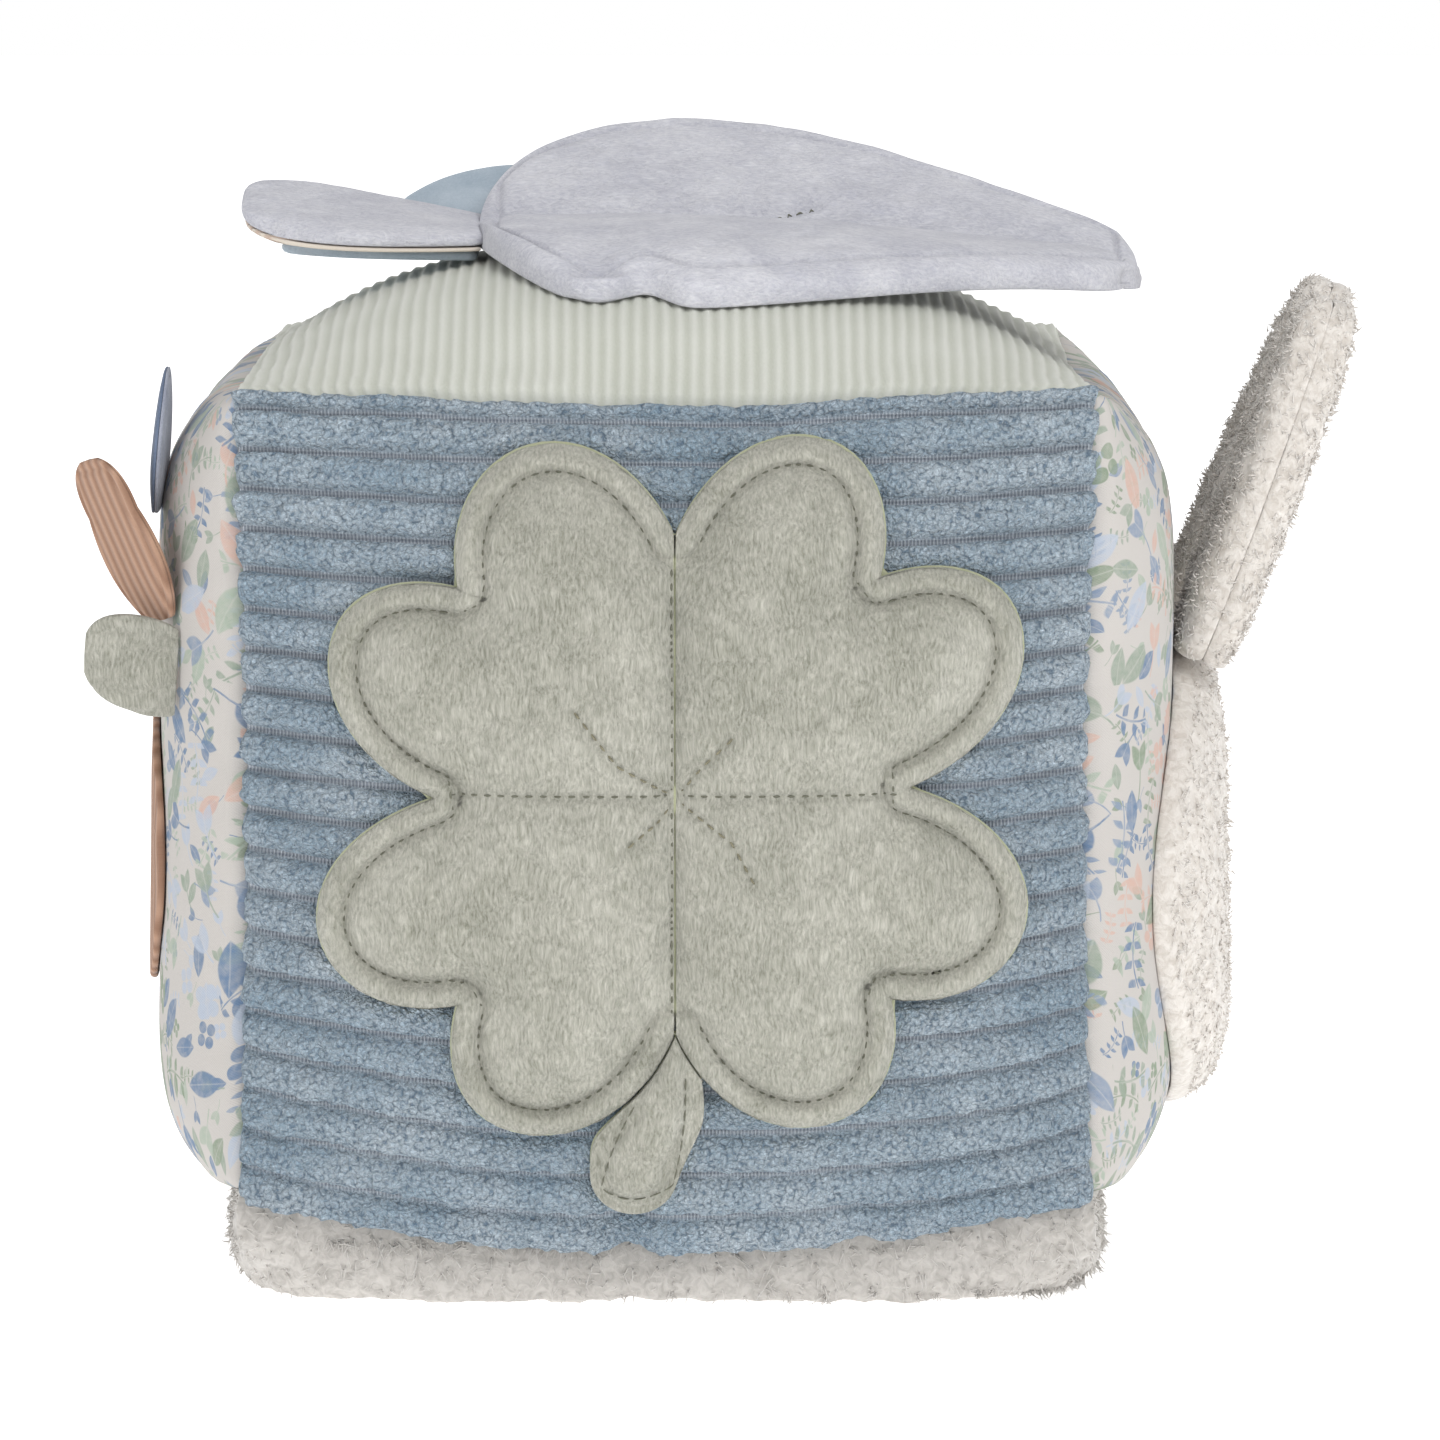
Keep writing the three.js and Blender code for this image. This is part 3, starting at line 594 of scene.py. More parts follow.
# fine cord: half of the rib's height, 0.4 of large patches and half of a fine noise, less 0.2
def cordMaterial():
    material, shader, n = newMaterial("cordSage", 0.2, 0.95)
    place = n.placeMm()
    fine = n.grain(n.vector("MULTIPLY", place, (1.6, 0.7, 1)), 2.4, 3, 0.7)
    patchShade = n.timesPlus(n.grain(place, 0.06), 0.4, n.timesPlus(fine, 0.5, -0.2))
    shade = n.timesPlus(n.attribute("rib"), 0.5, patchShade, clamp=True)
    cover(shader, n, n.mix(shade, color("#babdb0"), color("#dfe0d9")), fine, 0.6, 0.35)
    return material


# teddy fleece: one curly noise sets both the shade, from deep to light, and the height
def teddyMaterial(name, deep, light, through=0.4):
    material, shader, n = newMaterial(name, 0.35, 1)
    curls = n.grain(n.placeMm(), 0.55, 4, 0.65, 0.8)
    cover(shader, n, n.mix(n.spread(curls, 0.35, 0.6), color(deep), color(light)), curls, 0.45, 1.0)
    shader.inputs["Subsurface Weight"].default_value = through
    shader.inputs["Subsurface Radius"].default_value = (0.003, 0.003, 0.003)
    return material


# rib knit: a sine across the ribs, 0.65 of it with 0.4 of a fine noise
def ribMaterial(name, dark, light, pitch, direction):
    material, shader, n = newMaterial(name, 0.15, 0.9)
    place = n.clothMm()
    ridge = n.timesPlus(n.waves(n.split(place)[direction], pitch), 0.5, 0.5)
    fine = n.grain(place, 3, 3, 0.7)
    shade = n.timesPlus(ridge, 0.65, n.times(fine, 0.4), clamp=True)
    cover(shader, n, n.mix(shade, color(dark), color(light)), n.timesPlus(fine, 0.3, ridge), 0.8, 0.45)
    return material


# thread: a noise of 2.5 per mm for the twist, from dark to its own colour
def threadMaterial(name, code):
    material, shader, n = newMaterial(name, 0.1, 0.6)
    twist = n.grain(n.place(), 2500)
    cover(shader, n, n.mix(twist, color("#4f4c3f"), color(code)), twist, 0.5, 0.1)
    return material


corduroyBlue = corduroyMaterial()
cordSage = cordMaterial()
teddyWhite = teddyMaterial("teddyWhite", "#c9c2ba", "#dfdad4")
# the fibre copies are painted lighter than their fleece: painted light that makes up for the shade between
# the strands
teddyLitFibre = teddyMaterial("teddyLitFibre", "#d6d0ca", "#e2ddd7")
# painted shade: the fleece under the cube is a darker copy of the same fleece, and so is its fibre copy
teddyShadedUnder = teddyMaterial("teddyShadedUnder", "#aca8a3", "#c4c0bb")
teddyShadedUnderFibre = teddyMaterial("teddyShadedUnderFibre", "#bfbbb6", "#cdc9c4")
ribPeach = ribMaterial("ribPeach", "#876653", "#b8957f", 2.9, 0)
stripedLining = ribMaterial("stripedLining", "#bfa596", "#e0d8cc", 2.2, 1)
threadSage = threadMaterial("threadSage", "#a5a188")
threadDark = threadMaterial("threadDark", "#828576")


# printed cotton: each cell of a pattern holds one motif, turned, sized and coloured by its own random
# value. A leaf's half width falls with the square of the place along it; the mask is four times the rest
def motifGroup():
    inputs = [("Vector", "Vector", None), ("Cell", "Float", 12), ("Size", "Float", 1)]
    group, n = newGroup("leafMotifs", inputs, ["Mask", "Pick", "Vein"])
    size = lambda a: n.calc("ABSOLUTE", a)
    below = lambda a, limit: n.calc("LESS_THAN", a, limit)
    given = n.add("NodeGroupInput").outputs
    pattern = {"Vector": given["Vector"], "Scale": n.calc("DIVIDE", 1, given["Cell"]), "Randomness": 0.5}
    cells = n.add("ShaderNodeTexVoronoi", pattern, voronoi_dimensions="2D").outputs
    pickTurn, pickKind, pickInk = n.add("ShaderNodeSeparateColor", {0: cells["Color"]}).outputs
    local = n.vector("SUBTRACT", given["Vector"], cells["Position"])
    sized = n.vector("SCALE", local, n.calc("DIVIDE", 1, given["Size"]))
    turn = {"Vector": sized, "Angle": n.times(pickTurn, 2 * math.pi)}
    x, y, z = n.split(n.add("ShaderNodeVectorRotate", turn, rotation_type="Z_AXIS").outputs[0])
    flank = size(x)

    def leaf(along, across, length, width):
        share = n.calc("DIVIDE", along, length)
        half = n.timesPlus(n.times(share, share), -width, width)
        return n.times(n.minus(half, size(across)), 4, clamp=True)

    single = leaf(y, x, 3.9, 1.85)
    bowed = n.timesPlus(n.times(y, y), 0.05, x)
    stem = n.times(n.minus(0.2, size(bowed)), 9, clamp=True)
    stem = n.times(stem, below(size(y), 4.4))
    lap = n.minus(n.calc("FLOORED_MODULO", n.plus(y, 10.2), 2.4), 1.2)
    bowedFlank = size(bowed)
    cosine, sine = math.cos(0.65), math.sin(0.65)
    along = n.plus(n.times(bowedFlank, cosine), n.times(lap, sine))
    aside = n.minus(n.times(lap, cosine), n.times(bowedFlank, sine))
    sprig = n.times(leaf(n.minus(along, 1.55), aside, 1.35, 0.75), below(size(y), 4.3))
    sprig = n.calc("MAXIMUM", sprig, stem)
    petalX, petalY = n.minus(flank, 1.1), n.minus(size(y), 1.1)
    petal = n.calc("SQRT", n.plus(n.times(petalX, petalX), n.times(petalY, petalY)))
    flower = n.times(n.minus(1.12, petal), 7, clamp=True)
    pairAlong = n.plus(n.times(flank, 0.5), n.times(y, 0.87))
    pairAside = n.minus(n.times(flank, 0.87), n.times(y, 0.5))
    pair = leaf(n.minus(pairAlong, 1.2), pairAside, 2.4, 1.15)
    pair = n.calc("MAXIMUM", pair, n.times(stem, below(y, 0.5)))
    mask = single
    for limit, shape in ((0.28, sprig), (0.62, pair), (0.84, flower)):
        later = n.calc("GREATER_THAN", pickKind, limit)
        mask = n.add("ShaderNodeMix", {0: later, 2: mask, 3: shape}).outputs[0]
    vein = n.times(n.minus(0.16, flank), 8, clamp=True)
    return closeGroup(group, n, {"Mask": mask, "Pick": pickInk, "Vein": vein})


leafMotifs = motifGroup()
printInks = ["#8f9d8e", "#637d9c", "#a3b0a1", "#b0bac9", "#84947f", "#cbab9e", "#8293aa"]


# three layers of motifs over the paper colour, each by its mask times a wash from 0.6 to 1, then a weave
# of two sines multiplied; the height is 0.8 of a noise and 0.3 of the weave
def printMaterial():
    material, shader, n = newMaterial("printCotton", 0.05, 0.85)
    place = n.clothMm()
    washRange = {0: n.grain(place, 0.5, 3, 0.6), 1: 0.3, 2: 0.7, 3: 0.6, 4: 1}
    washed = n.add("ShaderNodeMapRange", washRange, clamp=True).outputs[0]
    paint = color("#c3bfbb")
    for cell, size, shift in ((8, 0.75, 31), (10, 1.2, 7), (12.5, 1.6, 0)):
        moved = n.vector("ADD", place, (shift, shift * 0.7, 0))
        motif = n.add("ShaderNodeGroup", {"Vector": moved}, node_tree=leafMotifs)
        motif.inputs["Cell"].default_value = cell
        motif.inputs["Size"].default_value = size
        inkRamp = n.add("ShaderNodeValToRGB", {0: motif.outputs["Pick"]})
        steps = inkRamp.color_ramp.elements
        inkRamp.color_ramp.interpolation = "CONSTANT"
        while len(steps) < len(printInks):
            steps.new(0.5)
        for turn, code in enumerate(printInks):
            steps[turn].position = turn / len(printInks)
            steps[turn].color = color(code)
        ink = n.mix(n.times(motif.outputs["Vein"], 0.3), inkRamp.outputs[0], color("#d1cdc9"))
        paint = n.mix(n.times(motif.outputs["Mask"], washed), paint, ink)
    x, y, z = n.split(place)
    weave = n.times(n.waves(x, 0.55), n.waves(y, 0.55))
    height = n.timesPlus(n.grain(place, 1.1, 3), 0.8, n.times(weave, 0.3))
    cover(shader, n, n.mix(n.timesPlus(weave, 0.04, 0.05), paint, color("#b9b3ad")), height, 0.5, 0.2)
    return material


printCotton = printMaterial()
print("materials done")

# small puckers where the bottom front seam is drawn up, at places along x, and the top seam's waves
puckers = {
    "places": [-6.4, 33.7, 57.5], "heights": [2.2, 1.3, 0.9], "width": 3.2, "lift": 11,
    "seamLift": 160, "seamWave": 1.6, "waveLength": 21, "reach": 9,
}


def puckered(points):
    x, y, z = points[..., 0], points[..., 1], points[..., 2]
    near = dent(z - puckers["lift"], puckers["reach"]) * np.clip((-y - 45) / 20, 0, 1)
    moved = points.copy()
    for place, height in zip(puckers["places"], puckers["heights"]):
        drawn = height * dent(x - place, puckers["width"]) * near
        moved[..., 2] += drawn
        moved[..., 1] += 0.5 * drawn
    topEdge = dent(z - puckers["seamLift"], puckers["reach"]) * np.clip((-y - 52) / 15, 0, 1)
    moved[..., 2] += puckers["seamWave"] * fuzz(xyz(x, 0, 0), puckers["waveLength"], 33, 2) * topEdge
    return moved


# the hidden side is a few rings that run from the seam in to the middle
def panelMesh(name, face, a, b, outer, uv, values):
    size = a.size
    rim = around(np.arange(size).reshape(a.shape))
    depth = cube["seamDepth"] + cube["linerDepth"]
    rings = [
        puckered(blockPoint(*faceOf[face](around(a) * share, around(b) * share), depth))
        for share in (1, 0.96, 0.85, 0.65, 0.4, 0.15, 0)
    ]
    points = np.concatenate([outer.reshape(-1, 3)] + rings)
    lines = [rim] + [size + len(rim) * k + np.arange(len(rim)) for k in range(len(rings))]
    quads = np.concatenate([gridQuads(*a.shape)] + wallQuads(lines))
    fill = lambda flat: np.concatenate([flat] + [flat[rim]] * len(rings))
    uv = None if uv is None else fill(uv.reshape(-1, 2))
    values = {key: fill(value.ravel()) for key, value in values.items()}
    return makeMesh(name, points, quads, uv=uv, values=values)


# a panel's skin: the cube's face, tucked at its seams, crumpled near them, plus a height of its own
def addPanel(name, face, across, up, heightOf, material, uvOf=None):
    a, b = np.meshgrid(across, up, indexing="ij")
    fromSeam = np.minimum((1 - np.abs(a)) * cube["halfSpan"], (1 - np.abs(b)) * cube["halfHeight"])
    skin = blockPoint(*faceOf[face](a, b), 0)
    tucked = cube["seamDepth"] * (1 - rise(fromSeam, cube["seamRoll"]))
    crumple = 0.55 * fuzz(skin, 9, 5) * np.exp(-fromSeam / 11) * rise(fromSeam, 3)
    height, values = heightOf(a, b, fromSeam, skin)
    outer = puckered(blockPoint(*faceOf[face](a, b), -(height + crumple - tucked)))
    mesh = panelMesh(name, face, a, b, outer, uvOf(a, b) if uvOf else None, values)
    piece = addPiece(name, mesh, material, "block", [face + "_panel"])
    return outer


def sineSteps(count):
    return np.sin(np.linspace(-1, 1, count) * math.pi / 2)


frontPanel = {"columns": 232, "rows": 396, "wales": 20.55, "height": 2.25, "valley": 0.13, "fullness": 2.6}


# wales: a rounded ridge in each turn of a phase that wanders with noise, plump in places
def frontHeight(a, b, fromSeam, skin):
    p = frontPanel
    flat = xyz(a * cube["halfSpan"], 0, b * cube["halfHeight"])
    wander = 0.10 * fuzz(flat * np.array([1, 1, 0.35]), 26, 3) * rise(fromSeam, 12)
    phase = (b + 1) / 2 * p["wales"] + wander * (1 - np.clip(b, 0, 1) ** 12)
    inWale = np.abs(2 * (phase - np.floor(phase)) - 1)
    full = np.clip((1 - p["valley"] - inWale) / (1 - p["valley"]), 0, 1)
    wale = np.sqrt(np.clip(1 - (1 - full) ** p["fullness"], 0, 1))
    lumps = 0.2 * fuzz(flat, 2.3, 11, 2) + 0.26 * noise(flat, 1.15, 21)
    plump = 1 + 0.25 * fuzz(flat * np.array([1, 1, 0.5]), 14, 31, 2)
    sides = rise((1 - np.abs(a)) * cube["halfSpan"] + 0.8, 5)
    height = wale * p["height"] * (plump + lumps) * rise(fromSeam + 0.5, 2.6) * sides
    return height, {"wale": wale}


topPanel = {"columns": 700, "rows": 84, "span": 82, "pitch": 2.66, "height": 0.34, "folds": 0.7}


# ribs: a cosine across, with fine noise, over soft folds
def topHeight(a, b, fromSeam, skin):
    p = topPanel
    phase = a * p["span"] / p["pitch"] + 0.12 * fuzz(skin, 18, 9)
    rib = 0.5 + 0.5 * np.cos(phase * math.pi * 2)
    folds = p["folds"] * (fuzz(skin, 26, 12, 2) - 0.6) * rise(fromSeam, 10)
    return p["height"] * rib * rise(fromSeam, 2.5) + 0.06 * noise(skin, 1.4, 3) + folds, {"rib": rib}


sidePanel = {"steps": 130, "wave": 0.25, "printSpan": 84, "rightShift": 200}
backPanel = {"steps": 120, "wave": 0.3}
bottomPanel = {"steps": 190, "strands": 11200, "length": 1.3, "radius": 0.2, "comb": (0, 0, -0.5)}
core = {"steps": 24, "depth": 2.6}


def bottomHeight(a, b, fromSeam, skin):
    curls = 1 + 0.22 * fuzz(skin, 3.4, 14, 2) + 0.1 * noise(skin, 1.7, 24)
    return (cube["pile"] - 0.6) * curls * rise(fromSeam + 0.3, 5), {}


def makeCore():
    steps = core["steps"]
    a, b = np.meshgrid(sineSteps(steps), sineSteps(steps), indexing="ij")
    points = [blockPoint(*faceOf[face](a, b), core["depth"]).reshape(-1, 3) for face in faceOf]
    quads = repeated(gridQuads(steps, steps), len(faceOf), steps ** 2)
    mesh = makeMesh("fillingFibre", np.concatenate(points), quads)
    piece = addPiece("fillingFibre", mesh, teddyWhite, "block", ["filling_core"])


def makePanels():
    across = np.linspace(-1, 1, frontPanel["columns"])
    up = np.linspace(-1, 1, frontPanel["rows"])
    addPanel("frontCorduroy", "front", across, up, frontHeight, corduroyBlue)
    across = np.linspace(-1, 1, topPanel["columns"])
    up = sineSteps(topPanel["rows"])
    addPanel("topCord", "top", across, up, topHeight, cordSage)
    span = sidePanel["printSpan"]
    steps = np.linspace(-1, 1, sidePanel["steps"])
    sideHeight = lambda a, b, fromSeam, skin: (sidePanel["wave"] * fuzz(skin, 22, 2), {})
    for face, shift in (("left", 0), ("right", sidePanel["rightShift"])):
        addPanel(face + "Print", face, steps, steps, sideHeight, printCotton,
                 uvOf=lambda a, b: np.stack([a * span + shift, b * span], -1))
    steps = np.linspace(-1, 1, backPanel["steps"])
    backHeight = lambda a, b, fromSeam, skin: (backPanel["wave"] * fuzz(skin, 18, 6), {})
    addPanel("backVelvet", "back", steps, steps, backHeight, velvetLavender)
    p = bottomPanel
    steps = sineSteps(p["steps"])
    # the bottom fleece and its strands take the darker copies, painted shade where the cube curves under
    outer = addPanel(
        "bottomFleece", "bottom", steps, steps, bottomHeight, teddyShadedUnder)
    sides = np.where(outer[..., 2:] < 1.5, outer[:1, :1], outer)
    centre = outer * 0 + np.array([0, 0, 70.0])
    addStrands("bottomPile", [(sides, centre)], p["strands"], p["length"], p["radius"], 41, teddyShadedUnderFibre,
               "block", p["comb"])


makeCore()
makePanels()
print("panels done")

clover = {
    "x": 1.8, "lift": 93, "stemNotch": 41.2,
    "degrees": [-90, -62.7, -43.8, -23.7, 1.9, 28.9, 47.1, 65.1, 90, 115.2, 135.9, 153.4, 180.6,
                204.8, 224.4, 241.6, 270],
    "reaches": [41.2, 63.4, 51, 64.5, 39.8, 65.6, 51, 65.2, 44.5, 64, 51, 64, 41, 66.2, 52, 65.4, 41.2],
    "seat": 1.3, "padding": 4.2, "stitchIn": 4.4, "fold": 0.22, "quilt": 0.4, "rows": 330, "columns": 90,
    "veins": [
        [(0, 0), (-9.7, 5.7), (-17.3, 15.4)], [(0.6, 0.4), (4.8, 5.7), (10.4, 11.1)],
        [(0, -0.6), (-2.8, -4), (-8.3, -8.5)], [(0.6, -0.6), (9.7, -7.4), (13.8, -15)],
    ],
}


# from a lobe to a notch the reach falls with the square of the turn
def rimReach(angle):
    degrees = np.mod(np.degrees(angle) + 90, 360) - 90
    ends = np.array(clover["degrees"], float)
    reaches = np.array(clover["reaches"], float)
    high = np.clip(np.searchsorted(ends, degrees), 1, len(ends) - 1)
    share = (degrees - ends[high - 1]) / (ends[high] - ends[high - 1])
    fromLobe = np.where(reaches[high - 1] > reaches[high], share, 1 - share)
    top = np.maximum(reaches[high - 1], reaches[high])
    return top - np.abs(reaches[high] - reaches[high - 1]) * fromLobe ** 2


# a flat point of the clover laid on the front face, at a height over its seat
def onFront(right, up, height):
    x, z = clover["x"] + right, clover["lift"] + up
    return xyz(x, skinPoint("front", x, z, -1.5)[..., 1] - clover["seat"] - height, z)


def rimLine(start, count):
    angles = np.radians(start) + np.linspace(0, math.pi, 3000)
    reach = rimReach(angles)
    return evenly(xyz(reach * np.cos(angles), reach * np.sin(angles)), count)


wholeRim = np.concatenate([rimLine(-90, 700), rimLine(90, 700)])
veinLines = [evenly(vein, 60) for vein in clover["veins"]]


# the pad's height: a puff that falls to the rim, the fold and the quilt line, a roll outside the stitched
# line, less grooves at the stitches and the veins, with crumpling noise
def cloverHeight(right, up):
    place = xyz(right, up)
    fromRim = distanceTo(place, wholeRim)
    fromStitch = fromRim - clover["stitchIn"]
    fromQuilt = up - clover["quilt"]
    overFold = rise(np.abs(right), 9)
    overQuilt = 0.42 + 0.58 * rise(np.abs(fromQuilt) - 0.3, 9)
    inner = rise(fromStitch, 11)
    puff = (clover["padding"] - 1.2) * inner * overFold * overQuilt
    hump = np.sin(np.pi * np.clip(fromRim / clover["stitchIn"], 0, 1)) ** 0.7
    roll = 1.3 * hump * (0.4 + 0.6 * overFold)
    groove = 0.9 * dent(fromStitch, 0.9) + 0.5 * dent(fromQuilt, 0.8) + 0.7 * dent(right, 1.7)
    flat = xyz(right, 0, up)
    crumple = 0.35 * fuzz(flat, 13, 7) * inner + 0.22 * fuzz(flat, 3.5, 17, 2) * dent(fromStitch, 4)
    height = base + puff + roll - groove + crumple
    for line in veinLines:
        height = height - 0.9 * dent(distanceTo(place, line), 1.0)
    return height


cloverSkins = []


def makeCloverHalf(name, side, body):
    p = clover
    line = rimLine(-90, p["rows"]) if side > 0 else rimLine(90, p["rows"])[::-1]
    share = np.sin(np.linspace(0, 1, p["columns"]) * math.pi / 2)[None, :, None]
    fold = xyz(side * p["fold"], np.linspace(line[0, 1], line[-1, 1], p["rows"]))
    rim = line.copy()
    rim[:, 0] = side * np.maximum(np.abs(rim[:, 0]), p["fold"])
    flat = fold[:, None] * (1 - share) + rim[:, None] * share
    right, up = flat[..., 0], flat[..., 1]
    outer = onFront(right, up, cloverHeight(right, up))
    inner = onFront(right, up, bed - 0.1)
    sewn = distanceTo(flat, wholeRim) < p["stitchIn"] + 0.3
    sewn |= (np.abs(up - p["quilt"]) < 0.9) | (np.abs(right) < 0.8)
    for vein in veinLines:
        sewn |= distanceTo(flat, vein) < 0.8
    outer = outer + swollen(outer, inner, sewn, 1.6, 0.05, 2.2)
    cloverSkins.append((right[::2].ravel(), up[::2].ravel(), outer[::2].reshape(-1, 3)))
    nodes = [body + "_cover", body + "_wadding"]
    pad = addSlab(name + "Pad", outer, inner, plushSage, body, nodes, "plush_sage", roundness=0.6, rimSteps=6)
    wide = fold[:, None] * (1 - share) + (rim + 0.15 * unit(rim))[:, None] * share
    wideX = (side * np.maximum(np.abs(wide[..., 0]), p["fold"]))[::3, ::3]
    wideUp = wide[::3, ::3, 1]
    backing = addSlab(
        name + "Backing", onFront(wideX, wideUp, bed - 0.12), onFront(wideX, wideUp, 0),
        sageBacking, body, [body + "_backing"], "sage_backing", roundness=1, rimSteps=6)


makeCloverHalf("cloverLeft", -1, "clover_left")
makeCloverHalf("cloverRight", 1, "clover_right")


# a row of stitches on the swollen skin: each point of the flat line takes the nearest skin point's y
def stitchRow(name, flatLine, material, body, **sizes):
    right, up, skin = (np.concatenate(parts) for parts in zip(*cloverSkins))
    nearest = [np.argmin((right - spot[0]) ** 2 + (up - spot[1]) ** 2) for spot in flatLine]
    line = onFront(flatLine[:, 0], flatLine[:, 1], 0)
    line[:, 1] = skin[nearest, 1]
    addStitches(name, line, (0, -1, 0), material, body, **sizes)


# the stitched outline runs inside the rim; points too near another part of the rim drop out
def insetLine(side):
    line = rimLine(-90 * side, 900)
    ahead = np.gradient(line, axis=0)
    inward = xyz(-ahead[:, 1], ahead[:, 0])
    inward /= np.linalg.norm(inward, axis=-1, keepdims=True)
    found = line + inward * clover["stitchIn"]
    keep = distanceTo(found, wholeRim) > clover["stitchIn"] - 0.25
    keep &= np.abs(found[:, 0]) > 1.2
    return evenly(found[keep], 600)


def makeCloverStitches():
    for side, label in ((-1, "left"), (1, "right")):
        body = "clover_" + label
        stitchRow(label + "OutlineStitch", insetLine(side), threadDark, body, dash=1.5, gap=0.9)
        across = np.linspace(0.9, 38.5, 200) * side
        quilt = xyz(across, clover["quilt"])
        stitchRow(label + "QuiltStitch", quilt, threadDark, body, lift=0.15, dash=1.6, gap=0.8)
    downFold = xyz(-0.55, np.linspace(-38, 41, 300))
    stitchRow("foldStitch", downFold, threadDark, "clover_left", lift=0.2, radius=0.22, dash=1.7)
    for turn, vein in enumerate(clover["veins"]):
        flat = evenly(vein, 80)
        flat = flat[np.abs(flat[:, 0]) > 0.8]
        body = "clover_left" if flat[-1, 0] < 0 else "clover_right"
        stitchRow("veinStitch" + str(turn), flat, threadSage, body, lift=0.4, radius=0.21, dash=1.7)


makeCloverStitches()

stem = {
    "leftAngle": 261, "rightAngle": 275, "gap": 1.0, "length": 33, "half": 7.6, "lean": 7.1, "swell": 1.7,
    "padding": 2.6, "stitchIn": 2.8, "rows": 90, "columns": 130,
}


# from the clover's rim straight to a round end, with sides that swell by a sine
def stemFlat(t, share):
    angle = np.radians(stem["leftAngle"] + (stem["rightAngle"] - stem["leftAngle"]) * t)
    out = rimReach(angle) + stem["gap"]
    fromX, fromY = out * np.cos(angle), out * np.sin(angle)
    turn = math.pi * (1 + t)
    endX = stem["half"] * np.cos(turn) - stem["lean"]
    endY = stem["half"] - clover["stemNotch"] - stem["length"] + stem["half"] * np.sin(turn)
    swell = stem["swell"] * (2 * t - 1) * np.sin(math.pi * share)
    return fromX + (endX - fromX) * share + swell, fromY + (endY - fromY) * share


# a line down one side of the stem, along its end and up the other side
def stemLine(low, high, start, end, count):
    ts = [np.full(count, low), np.linspace(low, high, count), np.full(count, high)]
    shares = [np.linspace(start, end, count), np.full(count, end), np.linspace(end, start, count)]
    return stemFlat(np.concatenate(ts), np.concatenate(shares))


def makeStem():
    p = stem
    t, share = np.meshgrid(np.linspace(0, 1, p["rows"]), np.linspace(0, 1, p["columns"]), indexing="ij")
    right, up = stemFlat(t, share)
    fromEdge = distanceTo(xyz(right, up), xyz(*stemLine(0, 1, 0, 1, 80)))
    groove = 0.5 * dent(fromEdge - p["stitchIn"], 0.6) * rise(share, 0.2)
    top = rise(share * p["length"], 9)
    lumps = 0.25 * fuzz(xyz(right, 0, up), 6, 4)
    height = base + 0.3 + p["padding"] * rise(fromEdge - 1.2, 5) * top - groove * top + lumps
    pad = addSlab(
        "cloverStemPad", onFront(right, up, height), onFront(right, up, bed - 0.1),
        plushSage, "clover_stem", ["clover_stem_cover"], "plush_sage", roundness=0.7, rimSteps=6)
    right, up = right[::3, ::3], up[::3, ::3]
    backing = addSlab(
        "cloverStemBacking", onFront(right, up, bed - 0.15), onFront(right, up, 0),
        sageBacking, "clover_stem", ["clover_stem_backing"], "sage_backing", roundness=1.3, rimSteps=6)
    right, up = stemLine(0.2, 0.8, 0.12, 0.9, 60)
    line = onFront(right, up, base + 0.3 + p["padding"] * 0.42)
    addStitches("stemStitch", line, (0, -1, 0), threadDark, "clover_stem", radius=0.17, lift=0.0)


makeStem()
print("clover done")

bird = {
    "tailX": -34, "length": 119, "backDepth": 35, "frontDepth": 51, "tip": 15,
    "droop": 7.6, "backRise": 24, "padding": 3.6, "widest": 0.286, "plump": 0.85, "fold": 0.5,
    "rows": 230, "columns": 90, "seamIn": 4.8, "tipRound": 3.5,
    "tack": [(15.8, 1.8), (21, 3.4), (26.8, 5.6)],
}
domeTop = float(blockPoint(0.0, 0.0, 1.0, 0)[2])
tailSeat = float(blockPoint(bird["tailX"] / cube["halfSpan"], 0.0, 1.0, 0)[2])
tackLine = evenly(bird["tack"], 60)


# a half's depth: a sine that is highest at the widest place, plus a tip that grows with the square
def birdDepth(along, side):
    full = np.sin(math.pi * along ** (math.log(0.5) / math.log(bird["widest"])))
    full = np.maximum(full, 0)
    if side > 0:
        return bird["backDepth"] * full + bird["tip"] * along ** 2
    return bird["frontDepth"] * full ** bird["plump"] + bird["tip"] * along ** 2


# the back half stands up by its rise, the front half follows the dome; both droop to the tip
def birdBed(x, y):
    toTip = np.maximum(x, 0) / (bird["length"] + bird["tailX"])
    droop = bird["droop"] * toTip ** 2
    raised = domeTop + layerGap - droop
    raised = raised + y * math.tan(math.radians(bird["backRise"])) * (0.96 - 0.42 * toTip ** 3)
    resting = blockPoint(0, y / cube["halfSpan"], 1, 0)[..., 2] + layerGap - droop
    return np.where(y > 0, raised, resting)


